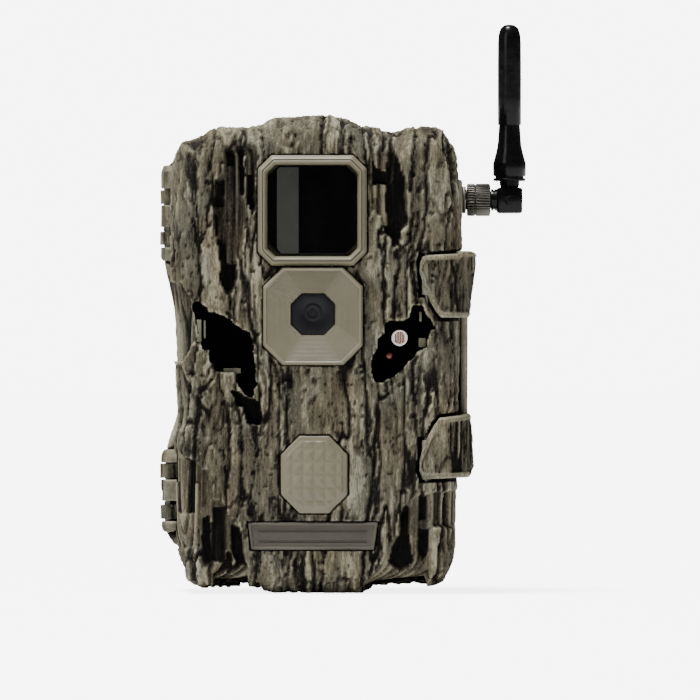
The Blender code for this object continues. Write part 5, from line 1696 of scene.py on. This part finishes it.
def make_optics():
    """Lens barrel, front lens and the motion sensor's can."""
    barrel = [
        (5.4, -17.6), (6.0, -17.8), (6.0, -24.0), (5.8, -24.1), (5.8, -24.5), (6.0, -24.6), (6.0, -29.6),
        (5.8, -30.0), (4.4, -30.0), (4.1, -29.6), (4.0, -27.8),
    ]
    lathe("lens_tube", barrel, "y", LENS_WINDOW["centre"], "black", "door", node="lens_barrel")
    element = [(3.7, -27.9), (3.7, -28.4), (3.4, -28.9), (2.6, -29.3), (1.5, -29.55), (0.4, -29.6)]
    lathe("lens_element", element, "y", LENS_WINDOW["centre"], "lens", "door", 40, node="front_lens")
    can = [
        (4.6, -13.9), (4.6, -14.7), (4.15, -14.9), (4.15, -17.9), (3.9, -18.2), (2.6, -18.2),
        (2.4, -18.0), (0.4, -18.0),
    ]
    lathe("motion_sensor", can, "y", PIR_LENS["centre"], "chip", "door", 40, node="pir_sensor")


for make in (
    make_panel, make_screen, make_keys, make_switch, make_card, make_card_socket, make_boards, make_optics,
):
    make()


# Inside the housing

CELL_RADIUS = 7.1
CELL_LENGTH = 50.5
CELL_PITCH = 15.4
CELL_Y = 7.0
TRAY_LOW_Z = 12.5
BAY_HEIGHT = 52.9
BAY_WALL = 1.6
BAY_X = (-30.8, 30.8)


def bay_bottom(row):
    return TRAY_LOW_Z + BAY_WALL + row * (BAY_HEIGHT + BAY_WALL)


def make_gasket():
    """The seal: a soft strip with rounded edges, just inside the walls."""
    loop = smooth_path(BOTTOM_SIDE + RIGHT_SIDE + TOP_SIDE + DOOR_LEFT_SIDE, True, 1.5)
    section = [
        (3.6, -5.9), (3.75, -6.25), (4.0, -6.4), (4.6, -6.4), (4.85, -6.25), (5.0, -5.9), (5.0, -2.1),
        (4.85, -1.75), (4.6, -1.6), (4.0, -1.6), (3.75, -1.75), (3.6, -2.1), (3.6, -3.2), (3.75, -3.5),
        (3.75, -4.5), (3.6, -4.8),
    ]
    rings = [at_y(drawn_in(loop, inset), y) for inset, y in section]
    loft("seal", rings, "rubber", "root", True, node="door_gasket")


def make_tray():
    """Battery tray: two bays with cradle ribs between the cells."""
    top = TRAY_LOW_Z + 2 * BAY_HEIGHT + 3 * BAY_WALL
    base = box(wide(BAY_X, 1.8), (-1.0, 16.2), (TRAY_LOW_Z, top))
    cuts = []
    for row in range(2):
        low = bay_bottom(row)
        cuts.append(box(BAY_X, (-4.0, 14.6), (low, low + BAY_HEIGHT)))
        cuts.append(rod("x", (-2.5, low + BAY_HEIGHT / 2), 7.0, (-40.0, 40.0), 40))
    shaped(base, "tray", "black", "root", cuts=cuts, node="battery_tray")
    for row in range(2):
        spans = wide((bay_bottom(row), bay_bottom(row) + BAY_HEIGHT), -6.0)
        for column in range(3):
            x = (column - 1) * CELL_PITCH
            outline = [(x - 1.6, 14.8), (x + 1.6, 14.8), (x + 0.4, 10.4), (x - 0.4, 10.4)]
            rib = solid([[(a, b, z) for a, b in outline] for z in spans])
            shaped(rib, f"cradle_rib_{row}_{column}", "black", "root", 0.15)


def make_contacts():
    """Stamped contact strips at the far ends of the bays."""
    for name, low in (("lower", bay_bottom(0) + GAP), ("upper", bay_bottom(1) + BAY_HEIGHT - GAP - 0.6)):
        strip = box(wide(BAY_X, -1.0), (1.0, 13.0), (low, low + 0.6))
        past = (low - 1, low + 2)
        cuts = [box(wide((x, x), 0.4), (0.0, 14.0), past) for x in (-BAY_X[1] / 2, 0, BAY_X[1] / 2)]
        cuts += [rod("z", ((k - 1.5) * CELL_PITCH, CELL_Y), 2.2, past, 24) for k in range(4)]
        shaped(strip, f"contact_{name}", "contact", "root", 0.1, cuts=cuts, node=f"battery_contact_{name}")


def make_cells():
    """Plain wrapped cells with metal ends, every other one upside down, with springs under their bases."""
    wrap = [
        (6.3, 0.1), (6.9, 0.1), (CELL_RADIUS, 0.4), (CELL_RADIUS, 48.9), (6.9, 49.25), (6.1, 49.35),
        (5.9, 49.15),
    ]
    cap = [(3.1, 49.1), (2.8, 49.4), (2.65, 50.3), (2.4, 50.5), (0.3, 50.5)]
    base = [(6.2, 0.4), (6.2, 0.0), (5.4, 0.0), (5.1, 0.2), (0.3, 0.2)]
    band = [(7.0, 36.0), (7.14, 36.1), (7.14, 48.6), (7.0, 48.7)]
    parts = (("wrap", wrap, "wrap"), ("band", band, "band"), ("cap", cap, "steel"), ("base", base, "steel"))
    for number in range(1, 9):
        row, column = divmod(number - 1, 4)
        centre = ((column - 1.5) * CELL_PITCH, CELL_Y)
        low = bay_bottom(row) + (BAY_HEIGHT - CELL_LENGTH) / 2
        flipped = (row + column) % 2 == 1
        for part, profile, material in parts:
            placed = [(radius, low + (CELL_LENGTH - at if flipped else at)) for radius, at in profile]
            node = f"aa_cell_{number}" if part == "wrap" else None
            lathe(f"cell_{number}_{part}", placed, "z", centre, material, "root", node=node)
        if flipped == (row == 0):
            end, way = (low + CELL_LENGTH, 1) if flipped else (low, -1)
            coil(f"spring_{number}", centre, 4.2, (end + 1.1 * way, end), 2, 0.3, "contact", "root")


CARRIED = {
    "antenna_pivot_pin": "gunmetal", "lens_holder": "black", "image_sensor": "window",
    "ir_cut_filter": "filter", "modem_board": "board", "modem_shield": "chip", "power_jack": "black",
}


def finish_carried():
    """Gives the CAD pieces that are shown as they are their materials."""
    for node, material in CARRIED.items():
        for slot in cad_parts[node].material_slots:
            slot.material = MATERIALS[material]


make_gasket()
make_tray()
make_contacts()
make_cells()
finish_carried()


# Stage, camera and lights (from here on in metres)

FLOOR_HALF = 14.0
FLOOR_Z = -0.0002
FLOOR_GLOW = 4.4
SKY_GLOW, SKY_SEEN = 0.15, 7.0
SUN_STRENGTH, SUN_SPREAD = 10.2, 0.36
SUN_DIRECTION = (0.22, 0.125, -0.96)
SOFT_POWER, SOFT_SIZE = 3.4, (0.35, 0.6)
SOFT_PLACE = (-0.75, -0.9, 0.55)
SOFT_TARGET = (0.0, 0.0, 0.075)
VIEW_CENTRE = (0.0114, -0.034, 0.07305)
VIEW_WIDTH = 0.210
LENS_LENGTH, SENSOR_WIDTH = 500.0, 36.0


def make_stage():
    """A plain pale floor, which glows only to the camera so that it meets the backdrop unseen."""
    mesh = bpy.data.meshes.new("floor")
    corners = [(x * FLOOR_HALF, y * FLOOR_HALF, FLOOR_Z) for x, y in ((-1, -1), (1, -1), (1, 1), (-1, 1))]
    mesh.from_pydata(corners, [], [[0, 1, 2, 3]])
    g = Graph("floor_paint")
    tone = g.mix(g.noise(0.004, detail=2.0), (0.78, 0.78, 0.78), (0.80, 0.80, 0.80))
    seen = g.node("ShaderNodeLightPath").outputs["Is Camera Ray"]
    mesh.materials.append(g.finish(
        Base_Color=tone, Roughness=0.95, Specular_IOR_Level=0.1, Emission_Color=(1, 1, 1),
        Emission_Strength=g.spread(seen, 0, 1, 0, FLOOR_GLOW),
    ))
    link("floor", mesh)


def make_camera():
    """Square on to the front, as far off as a long lens needs."""
    data = bpy.data.cameras.new("camera")
    data.lens = LENS_LENGTH
    data.sensor_width = SENSOR_WIDTH
    data.clip_end = 20.0
    camera = link("camera", data)
    x, y, z = VIEW_CENTRE
    camera.location = (x, y - VIEW_WIDTH * LENS_LENGTH / SENSOR_WIDTH, z)
    camera.rotation_euler = (math.pi / 2, 0, 0)
    bpy.context.scene.camera = camera


def make_light(name, kind, energy, direction):
    """A light that shines in a direction."""
    data = bpy.data.lights.new(name, kind)
    data.energy = energy
    light = link(name, data)
    light.rotation_euler = Vector(direction).to_track_quat("-Z", "Y").to_euler()
    return light


def make_world():
    """A dim even sky, which the camera sees as a bright backdrop."""
    world = bpy.data.worlds.new("studio")
    world.use_nodes = True
    tree = world.node_tree
    background = tree.nodes["Background"]
    background.inputs[0].default_value = (1, 1, 1, 1)
    seen = tree.nodes.new("ShaderNodeLightPath").outputs["Is Camera Ray"]
    strength = tree.nodes.new("ShaderNodeMapRange")
    strength.inputs["To Min"].default_value = SKY_GLOW
    strength.inputs["To Max"].default_value = SKY_SEEN
    tree.links.new(seen, strength.inputs["Value"])
    tree.links.new(strength.outputs[0], background.inputs[1])
    bpy.context.scene.world = world


def make_lights():
    """A hazy sun from above and a small soft lamp from the front left."""
    overhead = make_light("overhead", "SUN", SUN_STRENGTH, SUN_DIRECTION)
    overhead.data.angle = SUN_SPREAD
    soft = make_light("front_left", "AREA", SOFT_POWER, Vector(SOFT_TARGET) - Vector(SOFT_PLACE))
    soft.location = SOFT_PLACE
    soft.data.shape = "RECTANGLE"
    soft.data.size, soft.data.size_y = SOFT_SIZE


make_stage()
make_camera()
make_world()
make_lights()
